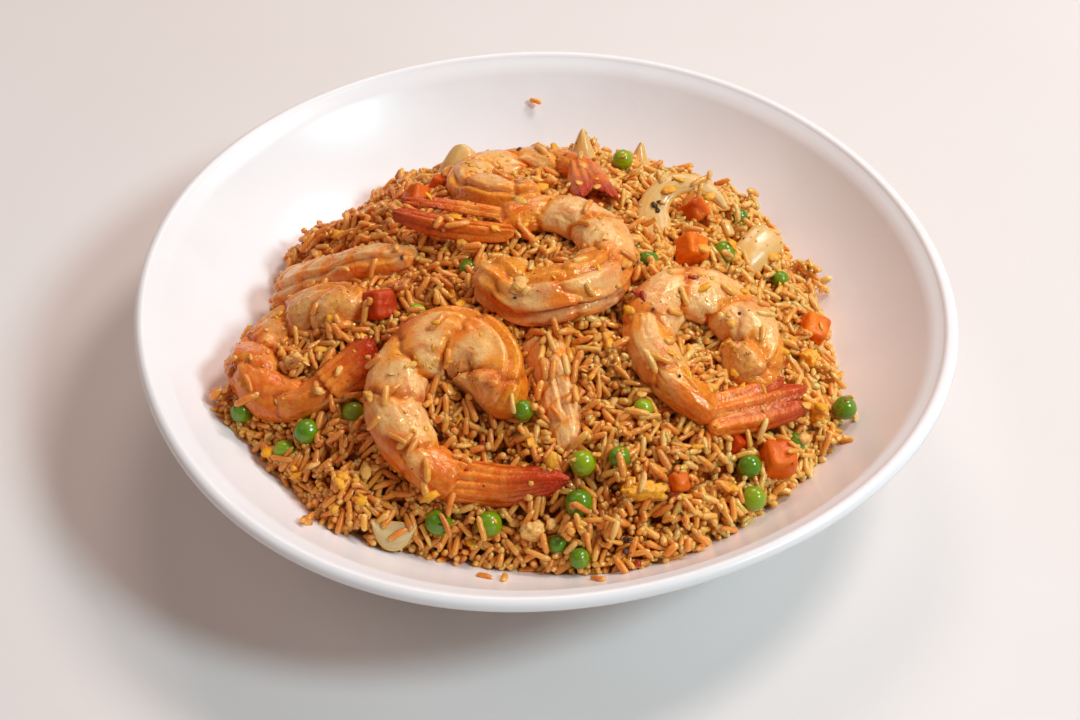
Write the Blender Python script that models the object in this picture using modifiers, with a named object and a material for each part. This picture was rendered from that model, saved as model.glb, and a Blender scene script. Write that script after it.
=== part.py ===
"""Shrimp fried rice heaped in a round white bowl.

The bowl is turned from a power-law profile and its rim wanders slightly out of
round.  The rice is one domed heap that fills the bowl.  Shrimp, peas, carrot,
onion and egg lie half sunk in it, each in a pocket cut to its own shape.
Metres, +Z up, origin on the table under the middle of the bowl.
"""
import bpy
import bmesh
import math
import numpy as np
from mathutils import Euler, Vector

MM = 0.001

# Bowl, in metres
RIM_RADIUS = 0.145          # outside of the lip
BOWL_HEIGHT = 0.056
WALL = 0.0055               # wall and lip thickness
FLOOR_HEIGHT = 0.009        # top of the floor above the table
INSIDE_POWER = 3.45         # the inside rises as this power of the radius
FOOT_RADIUS = 0.056
FOOT_WIDTH = 0.005
FOOT_RECESS = 0.0035
LOBES_3 = 0.0077            # share by which three wide lobes push the rim out
LOBES_4 = -0.0088           # and four narrower ones
BOWL_SEGMENTS = 40

# Heap of rice
HEAP_CENTRE = (0.0, -0.005)
HEAP_RADIUS = 0.111
HEAP_TOP = 0.074            # height of the crown above the table
HEAP_POWER = 2.3            # roundness of the dome
SHOULDER = 0.004            # upright edge of the heap where it meets the bowl
HEAP_GAP = 0.0014           # clear of the faceted inside of the bowl
HEAP_SEGMENTS = 38
HEAP_RINGS = 13
NORMAL_STEP = 0.004         # the slope of the heap is taken over this distance
# Spurs and hollows of its foot: direction in degrees, reach in metres, half width
HEAP_SPURS = ((-160, 0.005, 7), (-126, 0.004, 7), (-66, 0.004, 10), (-24, 0.003, 6),
              (165, -0.010, 16), (138, -0.005, 12), (2, -0.012, 18), (32, -0.003, 10))

CLEARANCE = 0.0007          # between a topping and its pocket
ICOSPHERE_INRADIUS = 0.79   # of a 20-sided ball, as a share of its radius

BOWL_WHITE = (0.86, 0.83, 0.81, 1.0)
RICE_TAN = (0.52, 0.27, 0.10, 1.0)
SHRIMP_PINK = (0.80, 0.40, 0.20, 1.0)
PEA_GREEN = (0.10, 0.32, 0.02, 1.0)
CARROT_ORANGE = (0.80, 0.17, 0.03, 1.0)
ONION_CREAM = (0.84, 0.70, 0.42, 1.0)
EGG_YELLOW = (0.85, 0.52, 0.08, 1.0)

# Shrimp.  x, y: middle of the curl; yaw: heading at the head end; turn: how far
# the body curls; quick: extra bend near the head; hand: +1 curls to the left.
# Lengths in mm, angles in degrees.
SHRIMP = {
    "shrimp_front": dict(x=-35, y=-65, yaw=49, turn=300, body=97, quick=0.54, hand=1,
                         tail=32, flick=2, fan=3, thick=23, lift=4),
    "shrimp_left": dict(x=-86, y=-34, yaw=99, turn=288, body=95, quick=0.23, hand=1,
                        tail=14, flick=10, fan=6, thick=20, lift=4),
    "shrimp_upper_left": dict(x=-70, y=7, yaw=-28, turn=22, body=52, quick=0.0, hand=1,
                              tail=12, flick=10, fan=8, thick=18, lift=1),
    "shrimp_centre": dict(x=5, y=-9, yaw=-63, turn=289, body=107, quick=0.04, hand=1,
                          tail=37, flick=-58, fan=11, thick=21, lift=5),
    "shrimp_back": dict(x=-11, y=48, yaw=-150, turn=280, body=97, quick=0.23, hand=-1,
                        tail=30, flick=14, fan=12, thick=18, lift=3),
    "shrimp_right": dict(x=51, y=-41, yaw=26, turn=322, body=110, quick=0.44, hand=1,
                         tail=34, flick=33, fan=7, thick=20, lift=4),
    "shrimp_sunk": dict(x=4, y=-61, yaw=-72, turn=12, body=42, quick=0.0, hand=-1,
                        tail=4, flick=0, fan=8, thick=15, lift=-3),
}
SPINE_STEPS = 120           # short steps along the middle line
SHRIMP_RINGS = 12
SHRIMP_SIDES = 8
SHRIMP_FLATNESS = 0.82      # height of a section as a share of its width
BACK_GROOVE = 0.22          # depth of the cut along the back, as a share of half the width
FIN_RINGS = 4
FIN_SIDES = 6

# Peas: x, y, diameter and how far the middle stands above the rice, in mm
PEAS = ((-34, -100, 9.5, 2), (-18, -101, 9, 2), (11, -99, 9.5, 1), (12, -89, 9, 2),
        (-7, -71, 7.5, 2), (-79, -66, 9.5, 2), (-87, -68, 8, 0), (-103, -52, 8, 1),
        (32, -70, 7, 1), (24, -87, 7.5, 1), (67, -80, 8.5, 2), (68, -89, 9, 2),
        (103, -46, 8.5, 7), (84, -66, 7, 1), (64, 8, 8.5, 2), (36, -8, 8, 2),
        (30, 68, 8, 2), (11, -113, 7, 1), (4, -108, 6.5, -1), (-63, -62, 8.5, -2),
        (-26, -12, 7, -1), (-43, -30, 7, 0), (86, 13, 7, 0), (74, 48, 7, 0))

# Carrot dice: x, y, side and lift in mm, then the turn about each axis in degrees
CARROTS = ((52, 5, 10, 2, 20, 30, 15), (55, 34, 9, 1, 35, 10, 50),
           (96, -9, 10, 2, 25, -20, 70), (77, -75, 11, 2, 15, 10, 8),
           (-56, -25, 10, 1, 50, 20, 30), (-47, 42, 9, 2, 30, 40, 10),
           (-39, 48, 6, 2, 10, 25, 60), (63, -71, 7, -3, 15, 30, 35),
           (43, -93, 6, 1, 40, 10, 20))

# Onion: x, y and lift of the middle, ring radius, arc in degrees, width and
# thickness in mm, share of the width at the near and far end, turns in degrees
ONIONS = {
    "onion_arch": (47, 33, 12, 36, 108, 12, 2.6, 0.35, 1.0, 19, 29, 153),
    "onion_slab": (77, 21, 2, 40, 32, 16, 3.2, 0.8, 0.9, 14, 26, -35),
    "onion_petal_back": (-34, 62, 0, 30, 45, 20, 2.6, 1.0, 0.5, 48, 0, -25),
    "onion_tip_middle": (15, 72, 2, 26, 40, 15, 2.6, 1.0, 0.15, 50, 0, 0),
    "onion_tip_right": (37, 79, 1, 26, 36, 13, 2.6, 1.0, 0.15, 50, 0, -12),
    "onion_half_moon": (-48, -103, 4, 18, 45, 9, 2.2, 0.6, 0.6, 20, 0, 75),
    "onion_chip": (67, 30, 1, 20, 20, 5, 2.4, 0.8, 0.8, 20, 20, 30),
}
ONION_STEPS = 6

# Egg curds: x, y and lift, then length, width and height in mm, turn in degrees
EGGS = {
    "egg_curd_front": (-4, -104, 1, 9, 8, 6, 15),
    "egg_curd_onion": (42, 2, 2, 9, 6, 6, -30),
    "egg_curd_top": (-8, -33, 11, 9, 7, 7, 10),
    "egg_strip": (32, -98, 2, 16, 6, 4, -15),
    "egg_curd_right": (93, -27, 2, 11, 8, 6, 60),
    "egg_curd_edge": (93, -52, 2, 8, 7, 6, 20),
}
CURD_ON_SHRIMP = ("egg_curd_top", "shrimp_centre")


def fresh_scene():
    for obj in list(bpy.data.objects):
        bpy.data.objects.remove(obj, do_unlink=True)


def new_collection(name):
    collection = bpy.data.collections.new(name)
    bpy.context.scene.collection.children.link(collection)
    return collection


def material(name, colour, roughness):
    mat = bpy.data.materials.new(name)
    mat.use_nodes = True
    shader = mat.node_tree.nodes["Principled BSDF"]
    shader.inputs["Base Color"].default_value = colour
    shader.inputs["Roughness"].default_value = roughness
    shader.inputs["Metallic"].default_value = 0.0
    return mat


def add_object(name, mesh, collection, mat=None):
    obj = bpy.data.objects.new(name, mesh)
    collection.objects.link(obj)
    if mat is not None:
        mesh.materials.clear()
        mesh.materials.append(mat)
    return obj


def mesh_from_bmesh(bm, name):
    mesh = bpy.data.meshes.new(name)
    bm.to_mesh(mesh)
    bm.free()
    mesh.shade_smooth()
    return mesh


def bake(obj):
    """Replace the object's mesh by its evaluated one, in flat triangles."""
    bpy.context.view_layer.update()
    graph = bpy.context.evaluated_depsgraph_get()
    mesh = bpy.data.meshes.new_from_object(obj.evaluated_get(graph))
    obj.modifiers.clear()
    obj.data = mesh
    bm = bmesh.new()
    bm.from_mesh(mesh)
    bmesh.ops.triangulate(bm, faces=bm.faces)
    bm.to_mesh(mesh)
    bm.free()


def boolean(obj, tool, operation):
    modifier = obj.modifiers.new(operation.lower(), "BOOLEAN")
    modifier.operation = operation
    modifier.solver = "EXACT"
    modifier.object = tool


def rim_wander(angle):
    """Share of the radius that the rim is out of round; both sides stay level."""
    return LOBES_3 * (math.cos(3 * angle) - math.cos(angle)) + LOBES_4 * math.sin(4 * angle)


def out_of_round(radius, angle):
    """Factor on the radius: none at the foot, all of the wander at the lip."""
    return 1 + rim_wander(angle) * min(radius / RIM_RADIUS, 1.0) ** 4


def inside_height(radius):
    inner_rim = RIM_RADIUS - WALL
    rise = BOWL_HEIGHT - FLOOR_HEIGHT
    return FLOOR_HEIGHT + rise * (radius / inner_rim) ** INSIDE_POWER


def inside_slope(radius):
    inner_rim = RIM_RADIUS - WALL
    rise = BOWL_HEIGHT - FLOOR_HEIGHT
    return rise * INSIDE_POWER / inner_rim * (radius / inner_rim) ** (INSIDE_POWER - 1)


def bowl_profile():
    """Half section from the middle of the floor, over the lip, to under the foot."""
    lip = WALL / 2
    lip_middle = RIM_RADIUS - lip
    wall_radii = np.array([0.0, 0.3, 0.48, 0.62, 0.74, 0.84, 0.93, 0.985]) * (RIM_RADIUS - WALL)
    profile = [(r, inside_height(r)) for r in wall_radii]
    for degrees in (140, 90, 40, 0):
        turn = math.radians(degrees)
        profile.append((lip_middle + lip * math.cos(turn), BOWL_HEIGHT - lip + lip * math.sin(turn)))
    for r in wall_radii[:2:-1]:
        lean = math.atan(inside_slope(r))
        profile.append((r + WALL * math.sin(lean), inside_height(r) - WALL * math.cos(lean)))
    profile.append((FOOT_RADIUS + 0.003, inside_height(FOOT_RADIUS) - WALL))
    profile.append((FOOT_RADIUS, 0.0))
    profile.append((FOOT_RADIUS - FOOT_WIDTH, 0.0))
    profile.append((FOOT_RADIUS - FOOT_WIDTH - 0.001, FOOT_RECESS))
    profile.append((0.0, FOOT_RECESS))
    return profile


def make_bowl(collection, mat):
    bm = bmesh.new()
    verts = [bm.verts.new((r, 0.0, z)) for r, z in bowl_profile()]
    for first, second in zip(verts, verts[1:]):
        bm.edges.new((first, second))
    bowl = add_object("bowl", mesh_from_bmesh(bm, "bowl"), collection, mat)
    screw = bowl.modifiers.new("turn", "SCREW")
    screw.steps = BOWL_SEGMENTS
    screw.render_steps = BOWL_SEGMENTS
    screw.use_merge_vertices = True
    screw.merge_threshold = 0.00005
    bake(bowl)
    for vertex in bowl.data.vertices:
        radius = math.hypot(vertex.co.x, vertex.co.y)
        factor = out_of_round(radius, math.atan2(vertex.co.y, vertex.co.x))
        vertex.co.x *= factor
        vertex.co.y *= factor
    bowl.data.shade_smooth()
    return bowl


def bowl_inside(x, y):
    """Height of the bowl's inner surface under a point."""
    radius = math.hypot(x, y)
    return inside_height(radius / out_of_round(radius, math.atan2(y, x)))


def heap_reach(angle):
    """Radius of the heap's uneven foot in one direction from its middle."""
    reach = HEAP_RADIUS + 0.002 * math.cos(2 * angle)
    reach += 0.0022 * math.sin(5 * angle + 1.2) + 0.0015 * math.cos(9 * angle)
    for degrees, length, width in HEAP_SPURS:
        off = math.degrees(angle) - degrees
        off = (off + 180) % 360 - 180
        reach += length * math.exp(-(off / width) ** 2)
    return reach


def lumps(x, y):
    """Low waves, a millimetre or so high, where the rice has clumped."""
    waves = math.sin(110 * x + 60 * y) * math.cos(95 * y - 40 * x + 1.0)
    waves += 0.6 * math.sin(210 * x - 120 * y + 2.0) * math.sin(190 * y + 0.5)
    return 0.0011 * waves


def heap_height(x, y):
    """Height of the rice above the table: a dome with an upright shoulder."""
    dx = x - HEAP_CENTRE[0]
    dy = y - HEAP_CENTRE[1]
    angle = math.atan2(dy, dx)
    reach = heap_reach(angle)
    out = min(math.hypot(dx, dy) / reach, 1.0)
    foot_x = HEAP_CENTRE[0] + reach * math.cos(angle)
    foot_y = HEAP_CENTRE[1] + reach * math.sin(angle)
    foot = bowl_inside(foot_x, foot_y) + HEAP_GAP
    dome = (HEAP_TOP - SHOULDER - foot) * (1 - out ** HEAP_POWER)
    edge = SHOULDER * math.sqrt(1 - out ** 12)
    return foot + dome + edge + lumps(x, y) * (1 - out ** 8)


def heap_normal(x, y):
    step = NORMAL_STEP
    slope_x = (heap_height(x + step, y) - heap_height(x - step, y)) / (2 * step)
    slope_y = (heap_height(x, y + step) - heap_height(x, y - step)) / (2 * step)
    return Vector((-slope_x, -slope_y, 1.0)).normalized()


def make_heap(collection, mat):
    """A sphere whose top half becomes the dome and lower half lines the bowl."""
    bm = bmesh.new()
    bmesh.ops.create_uvsphere(bm, u_segments=HEAP_SEGMENTS, v_segments=HEAP_RINGS, radius=1.0)
    for vertex in bm.verts:
        angle = math.atan2(vertex.co.y, vertex.co.x)
        out = min(math.hypot(vertex.co.x, vertex.co.y), 1.0) * heap_reach(angle)
        x = HEAP_CENTRE[0] + out * math.cos(angle)
        y = HEAP_CENTRE[1] + out * math.sin(angle)
        floor = bowl_inside(x, y) + HEAP_GAP
        top = heap_height(x, y) if vertex.co.z > 0.001 else floor
        vertex.co = Vector((x, y, max(top, floor)))
    return add_object("rice_heap", mesh_from_bmesh(bm, "rice_heap"), collection, mat)


def loft(name, rings):
    """Closed body through equal rings of points, capped at both ends."""
    bm = bmesh.new()
    sides = len(rings[0])
    rows = [[bm.verts.new(point) for point in ring] for ring in rings]
    for row, following in zip(rows, rows[1:]):
        for k in range(sides):
            after = (k + 1) % sides
            bm.faces.new((row[k], row[after], following[after], following[k]))
    bm.faces.new(rows[0][::-1])
    bm.faces.new(rows[-1])
    bmesh.ops.recalc_face_normals(bm, faces=bm.faces)
    return mesh_from_bmesh(bm, name)


def shrimp_heading(shape, along):
    bend = along + shape["quick"] * along * (1 - along)
    return math.radians(shape["yaw"] + shape["hand"] * shape["turn"] * bend)


def shrimp_spine(shape):
    """Middle line of the body, from the head end to where the tail starts."""
    step = shape["body"] * MM / SPINE_STEPS
    points = [(0.0, 0.0)]
    for k in range(SPINE_STEPS):
        heading = shrimp_heading(shape, (k + 0.5) / SPINE_STEPS)
        x, y = points[-1]
        points.append((x + step * math.cos(heading), y + step * math.sin(heading)))
    points = np.array(points)
    points += np.array((shape["x"], shape["y"])) * MM - points.mean(axis=0)
    return points


def section_frame(x, y, heading, hand):
    """Unit vectors at a point of the spine: forward, back side, up."""
    up = heap_normal(x, y)
    forward = Vector((math.cos(heading), math.sin(heading), 0.0))
    forward = (forward - up * forward.dot(up)).normalized()
    back = forward.cross(up) * hand
    return forward, back, up


def body_width(along):
    """Body thickness as a share of the greatest, from head end to tail."""
    blunt = 1 - 0.45 * math.exp(-along / 0.04)
    taper = 1 - 0.48 * along ** 2.2
    folds = 1 + 0.035 * math.cos(2 * math.pi * 6 * along)
    return blunt * taper * folds


def shrimp_rings(shape, grow):
    spine = shrimp_spine(shape)
    last = len(spine) - 1
    rings = []
    for ring in range(SHRIMP_RINGS):
        along = ring / (SHRIMP_RINGS - 1)
        x, y = spine[round(along * last)]
        forward, back, up = section_frame(x, y, shrimp_heading(shape, along), shape["hand"])
        middle = Vector((x, y, heap_height(x, y) + shape["lift"] * MM))
        if ring == 0:
            middle -= forward * grow
        if ring == SHRIMP_RINGS - 1:
            middle += forward * grow
        half = shape["thick"] * MM / 2 * body_width(along)
        groove = BACK_GROOVE * math.exp(-(along / 0.45) ** 4)
        points = []
        for side in range(SHRIMP_SIDES):
            turn = 2 * math.pi * side / SHRIMP_SIDES
            cut = 1 - groove if side == 0 else 1.0
            reach = half * cut + grow
            height = SHRIMP_FLATNESS * half + grow
            points.append(middle + back * reach * math.cos(turn) + up * height * math.sin(turn))
        rings.append(points)
    return rings


def fin_rings(shape, side, grow):
    """One lobe of the tail: a flat petal that leaves the body at a small angle."""
    x, y = shrimp_spine(shape)[-1]
    heading = shrimp_heading(shape, 1.0) + shape["hand"] * math.radians(shape["flick"])
    forward, back, up = section_frame(x, y, heading, shape["hand"])
    spread = math.radians(shape["fan"]) * side
    along_fin = forward * math.cos(spread) + back * math.sin(spread)
    across = back * math.cos(spread) - forward * math.sin(spread)
    root = Vector((x, y, heap_height(x, y) + shape["lift"] * MM))
    length = shape["tail"] * MM * (1.0 if side > 0 else 0.95) + grow
    start = 0.25 * shape["thick"] * MM
    rings = []
    for ring in range(FIN_RINGS):
        along = ring / (FIN_RINGS - 1)
        middle = root + along_fin * ((length + start) * along - start)
        ground = heap_height(middle.x, middle.y) + shape["lift"] * MM
        middle.z = max(ground, middle.z) if along > 0 else middle.z
        width = shape["thick"] * MM * (0.22 + 0.07 * math.sin(math.pi * along) - 0.10 * along ** 2)
        height = shape["thick"] * MM * (0.19 - 0.10 * along) * (1.0 if side > 0 else 0.9)
        points = []
        for k in range(FIN_SIDES):
            turn = 2 * math.pi * k / FIN_SIDES
            point = middle + across * (width + grow) * math.cos(turn)
            points.append(point + up * (height + grow) * math.sin(turn))
        rings.append(points)
    return rings


def shrimp_object(name, shape, collection, mat, grow=0.0):
    obj = add_object(name, loft(name, shrimp_rings(shape, grow)), collection, mat)
    for side in (1, -1):
        fin = add_object(name + "_fin", loft(name + "_fin", fin_rings(shape, side, grow)), collection)
        boolean(obj, fin, "UNION")
        bake(obj)
        bpy.data.objects.remove(fin, do_unlink=True)
    obj.data.shade_smooth()
    return obj


def pea_object(name, spot, collection, mat, grow=0.0):
    x, y, diameter, lift = spot
    bm = bmesh.new()
    if grow:
        radius = (diameter * MM / 2 + grow) / ICOSPHERE_INRADIUS
        bmesh.ops.create_icosphere(bm, subdivisions=1, radius=radius)
    else:
        bmesh.ops.create_uvsphere(bm, u_segments=7, v_segments=5, radius=diameter * MM / 2)
    obj = add_object(name, mesh_from_bmesh(bm, name), collection, mat)
    obj.location = (x * MM, y * MM, heap_height(x * MM, y * MM) + lift * MM)
    obj.rotation_euler = (0.5, 0.3, x + y)
    return obj


def carrot_object(name, spot, collection, mat, grow=0.0):
    x, y, side, lift, turn_x, turn_y, turn_z = spot
    bm = bmesh.new()
    bmesh.ops.create_cube(bm, size=side * MM + 2 * grow)
    for vertex in bm.verts:
        if vertex.co.z > 0:
            vertex.co.x *= 0.92
            vertex.co.y *= 0.95
    obj = add_object(name, mesh_from_bmesh(bm, name), collection, mat)
    obj.data.set_sharp_from_angle(angle=math.radians(40))
    if not grow:
        bevel = obj.modifiers.new("worn edges", "BEVEL")
        bevel.width = 0.1 * side * MM
        bevel.segments = 1
    obj.location = (x * MM, y * MM, heap_height(x * MM, y * MM) + lift * MM)
    obj.rotation_euler = [math.radians(turn) for turn in (turn_x, turn_y, turn_z)]
    return obj


def onion_object(name, spot, collection, mat, grow=0.0):
    """A strip bent to an arc about its own X axis, tapering at both ends."""
    x, y, lift, radius, arc, width, thick, near, far, turn_x, turn_y, turn_z = spot
    bm = bmesh.new()
    bmesh.ops.create_grid(bm, x_segments=2, y_segments=ONION_STEPS, size=1.0)
    half_arc = math.radians(arc) / 2 + grow / (radius * MM)
    for vertex in bm.verts:
        turn = half_arc * vertex.co.y
        share = near + (far - near) * (vertex.co.y + 1) / 2
        narrow = share * max(1 - vertex.co.y ** 6, 0.04) ** (1 / 3)
        cup = 0.12 * width * MM * vertex.co.x ** 2
        across = vertex.co.x * (width * MM / 2 * narrow + grow)
        reach = radius * MM - cup
        vertex.co = Vector((across, reach * math.sin(turn), reach * math.cos(turn) - radius * MM))
    bmesh.ops.recalc_face_normals(bm, faces=bm.faces)
    obj = add_object(name, mesh_from_bmesh(bm, name), collection, mat)
    shell = obj.modifiers.new("thickness", "SOLIDIFY")
    shell.thickness = thick * MM + 2 * grow
    shell.offset = 0.0
    obj.location = (x * MM, y * MM, heap_height(x * MM, y * MM) + lift * MM)
    obj.rotation_euler = [math.radians(turn) for turn in (turn_x, turn_y, turn_z)]
    return obj


def egg_object(name, spot, collection, mat, grow=0.0):
    """A flattened ball with a few shallow hollows."""
    x, y, lift, length, width, height, turn = spot
    bm = bmesh.new()
    if grow:
        bmesh.ops.create_icosphere(bm, subdivisions=1, radius=1.0 / ICOSPHERE_INRADIUS)
    else:
        bmesh.ops.create_icosphere(bm, subdivisions=2, radius=1.0)
    for vertex in bm.verts:
        away = vertex.co.copy()
        bump = 1 + 0.14 * math.sin(3.1 * away.x + x) * math.cos(2.7 * away.y + y)
        sizes = Vector((length, width, height)) * MM / 2 * bump
        vertex.co = Vector((away.x * sizes.x, away.y * sizes.y, away.z * sizes.z)) + away * grow
    obj = add_object(name, mesh_from_bmesh(bm, name), collection, mat)
    obj.location = (x * MM, y * MM, heap_height(x * MM, y * MM) + lift * MM)
    up = heap_normal(x * MM, y * MM)
    lean = Vector((0, 0, 1)).rotation_difference(up).to_matrix()
    spin = Euler((0, 0, math.radians(turn))).to_matrix()
    obj.rotation_euler = (lean @ spin).to_euler()
    return obj


def toppings():
    """Every topping as (name, maker, its row of numbers, material key)."""
    rows = []
    for name, shape in SHRIMP.items():
        rows.append((name, shrimp_object, shape, "shrimp"))
    for index, spot in enumerate(PEAS, 1):
        rows.append((f"pea_{index:02d}", pea_object, spot, "pea"))
    for index, spot in enumerate(CARROTS, 1):
        rows.append((f"carrot_{index:02d}", carrot_object, spot, "carrot"))
    for name, spot in ONIONS.items():
        rows.append((name, onion_object, spot, "onion"))
    for name, spot in EGGS.items():
        rows.append((name, egg_object, spot, "egg"))
    return rows


def keep_largest_piece(obj):
    """Drop the crumbs of rice that neighbouring pockets cut free."""
    bm = bmesh.new()
    bm.from_mesh(obj.data)
    unseen = set(bm.verts)
    pieces = []
    while unseen:
        front = [unseen.pop()]
        piece = list(front)
        while front:
            vertex = front.pop()
            for edge in vertex.link_edges:
                other = edge.other_vert(vertex)
                if other in unseen:
                    unseen.remove(other)
                    piece.append(other)
                    front.append(other)
        pieces.append(piece)
    pieces.sort(key=len)
    for piece in pieces[:-1]:
        bmesh.ops.delete(bm, geom=piece, context="VERTS")
    bm.to_mesh(obj.data)
    bm.free()


def main():
    fresh_scene()
    parts = new_collection("fried_rice")
    cutters = new_collection("pocket_cutters")
    finishes = {
        "bowl": material("bowl_glaze", BOWL_WHITE, 0.12),
        "rice": material("fried_rice_grains", RICE_TAN, 0.45),
        "shrimp": material("cooked_shrimp", SHRIMP_PINK, 0.35),
        "pea": material("green_pea", PEA_GREEN, 0.3),
        "carrot": material("carrot_flesh", CARROT_ORANGE, 0.4),
        "onion": material("onion_flesh", ONION_CREAM, 0.35),
        "egg": material("scrambled_egg", EGG_YELLOW, 0.5),
    }
    make_bowl(parts, finishes["bowl"])
    heap = make_heap(parts, finishes["rice"])
    for name, maker, spot, key in toppings():
        maker(name, spot, parts, finishes[key])
        cutter = maker(name + "_pocket", spot, cutters, None, CLEARANCE)
        cutter.hide_render = True
        cutter.display_type = "WIRE"
        bake(cutter)
    curd, shrimp = CURD_ON_SHRIMP
    boolean(parts.objects[curd], cutters.objects[shrimp + "_pocket"], "DIFFERENCE")
    bake(heap)
    pockets = heap.modifiers.new("pockets", "BOOLEAN")
    pockets.operation = "DIFFERENCE"
    pockets.solver = "EXACT"
    pockets.operand_type = "COLLECTION"
    pockets.collection = cutters
    bake(heap)
    keep_largest_piece(heap)
    heap.data.shade_smooth()


main()
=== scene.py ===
import math

import bpy
import numpy as np
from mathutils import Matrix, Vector
from mathutils.bvhtree import BVHTree


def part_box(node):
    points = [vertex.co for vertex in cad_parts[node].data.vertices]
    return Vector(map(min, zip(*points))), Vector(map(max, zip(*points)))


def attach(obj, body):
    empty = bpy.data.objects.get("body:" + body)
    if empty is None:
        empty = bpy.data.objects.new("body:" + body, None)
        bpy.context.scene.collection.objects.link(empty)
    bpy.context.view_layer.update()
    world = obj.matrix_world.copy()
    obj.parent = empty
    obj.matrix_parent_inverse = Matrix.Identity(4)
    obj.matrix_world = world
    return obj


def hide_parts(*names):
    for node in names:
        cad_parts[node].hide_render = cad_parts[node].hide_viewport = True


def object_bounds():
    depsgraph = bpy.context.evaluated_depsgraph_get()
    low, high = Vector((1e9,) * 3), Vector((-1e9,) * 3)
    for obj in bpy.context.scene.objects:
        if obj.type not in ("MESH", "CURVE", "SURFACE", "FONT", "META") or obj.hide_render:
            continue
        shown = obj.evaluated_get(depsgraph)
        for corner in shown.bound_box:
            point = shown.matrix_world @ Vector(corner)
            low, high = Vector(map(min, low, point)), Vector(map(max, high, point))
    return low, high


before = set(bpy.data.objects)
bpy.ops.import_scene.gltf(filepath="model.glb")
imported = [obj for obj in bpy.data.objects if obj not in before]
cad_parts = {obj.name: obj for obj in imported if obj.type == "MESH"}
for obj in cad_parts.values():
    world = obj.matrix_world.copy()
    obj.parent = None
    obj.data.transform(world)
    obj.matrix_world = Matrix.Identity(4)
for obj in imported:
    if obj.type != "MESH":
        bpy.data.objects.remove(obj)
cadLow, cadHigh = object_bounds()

mm = 0.001
print("frame loaded:", len(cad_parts), "nodes")


def rgb(red, green, blue):
    # A screen colour, 0 to 255, as the linear colour that a shader takes
    screen = np.array((red, green, blue)) / 255
    linear = np.where(screen > 0.04045, ((screen + 0.055) / 1.055) ** 2.4, screen / 12.92)
    return (*linear.tolist(), 1.0)


def smooth(low, high, values):
    # 0 below low, 1 above high, an S curve between
    part = np.clip((values - low) / (high - low), 0, 1)
    return part * part * (3 - 2 * part)


def bell(values, width):
    # 1 at zero, falling away on both sides over the width
    return np.exp(-(values / width) ** 2)


def lattice(cells, seed):
    # A steady random number from 0 to 1 for each whole-number point
    x, y, z = cells[..., 0], cells[..., 1], cells[..., 2]
    mixed = (x * 374761393 + y * 668265263 + z * 1103515245 + seed * 974711) & 0xFFFFFFFF
    mixed = ((mixed ^ (mixed >> 13)) * 1274126177) & 0xFFFFFFFF
    return ((mixed ^ (mixed >> 16)) & 0xFFFF) / 65535


def noise(points, size, seed=0):
    # Value noise from -1 to 1: lattice numbers one size apart, blended by S curves
    grid = points / size
    cell = np.floor(grid).astype(np.int64)
    part = grid - cell
    part = part * part * (3 - 2 * part)
    total = 0
    for corner in np.ndindex(2, 2, 2):
        pick = np.array(corner)
        weight = np.prod(np.where(pick, part, 1 - part), axis=-1)
        total = total + weight * lattice(cell + pick, seed)
    return 2 * total - 1


def clouds(points, size, seed=0, octaves=3):
    # Noise plus finer noise, each octave half the size and half the height
    total = 0
    for octave in range(octaves):
        total = total + noise(points, size / 2 ** octave, seed + 31 * octave) / 2 ** octave
    return total


def flat(x, y, z=0.0):
    # Points in space from arrays of x, y and z
    return np.stack(np.broadcast_arrays(x, y, z), axis=-1)


def unit(vectors):
    return vectors / np.linalg.norm(vectors, axis=-1, keepdims=True)


def tubeFaces(rings, sides):
    # Quads of a grid closed round its sides, and a fan of triangles at each end
    ring, side = np.meshgrid(np.arange(rings - 1), np.arange(sides), indexing="ij")
    after = (side + 1) % sides
    quads = np.stack((ring * sides + side, ring * sides + after,
                      (ring + 1) * sides + after, (ring + 1) * sides + side), -1).reshape(-1, 4)
    here = np.arange(sides)
    following = (here + 1) % sides
    end = (rings - 1) * sides
    low = np.stack((following, here, np.full(sides, rings * sides)), -1)
    high = np.stack((end + here, end + following, np.full(sides, rings * sides + 1)), -1)
    return quads, np.concatenate((low, high))


def closedTube(rows):
    # Rings of points, each row one ring, with a pole at the middle of each end ring
    rings, sides = rows.shape[:2]
    poles = np.stack((rows[0].mean(0), rows[-1].mean(0)))
    points = np.concatenate((rows.reshape(-1, 3), poles))
    quads, tris = tubeFaces(rings, sides)
    return pointOut(points, quads, tris)


def pointOut(points, quads, tris):
    # Turns every face round if the signed volume says that they point inwards
    fans = np.concatenate((quads[:, [0, 1, 2]], quads[:, [0, 2, 3]], tris))
    a, b, c = (points[fans[:, k]] for k in range(3))
    volume = np.einsum("ij,ij->i", a - points.mean(0), np.cross(b - a, c - a)).sum()
    if volume < 0:
        quads, tris = quads[:, ::-1], tris[:, ::-1]
    return points, quads, tris


def spread(marks, rows):
    # A value for each point of a closed tube, from a value for each point of its rings
    full = np.broadcast_to(marks, rows.shape[:2])
    return np.concatenate((full.ravel(), (full[0].mean(), full[-1].mean())))


def join(shapes):
    # Several (points, quads, tris) as one
    points, quads, tris = [], [], []
    start = 0
    for some, four, three in shapes:
        points.append(some)
        quads.append(four + start)
        tris.append(three + start)
        start += len(some)
    return np.concatenate(points), np.concatenate(quads), np.concatenate(tris)


def together(made):
    # Shapes joined into one, with their values for each vertex in the same order
    return join([shape for shape, values in made]), np.concatenate([values for shape, values in made])


def repeated(moved, quads, tris):
    # One template's faces, repeated for each placed copy of its points
    starts = (np.arange(len(moved)) * moved.shape[1])[:, None, None]
    return moved.reshape(-1, 3), (quads + starts).reshape(-1, 4), (tris + starts).reshape(-1, 3)


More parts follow.
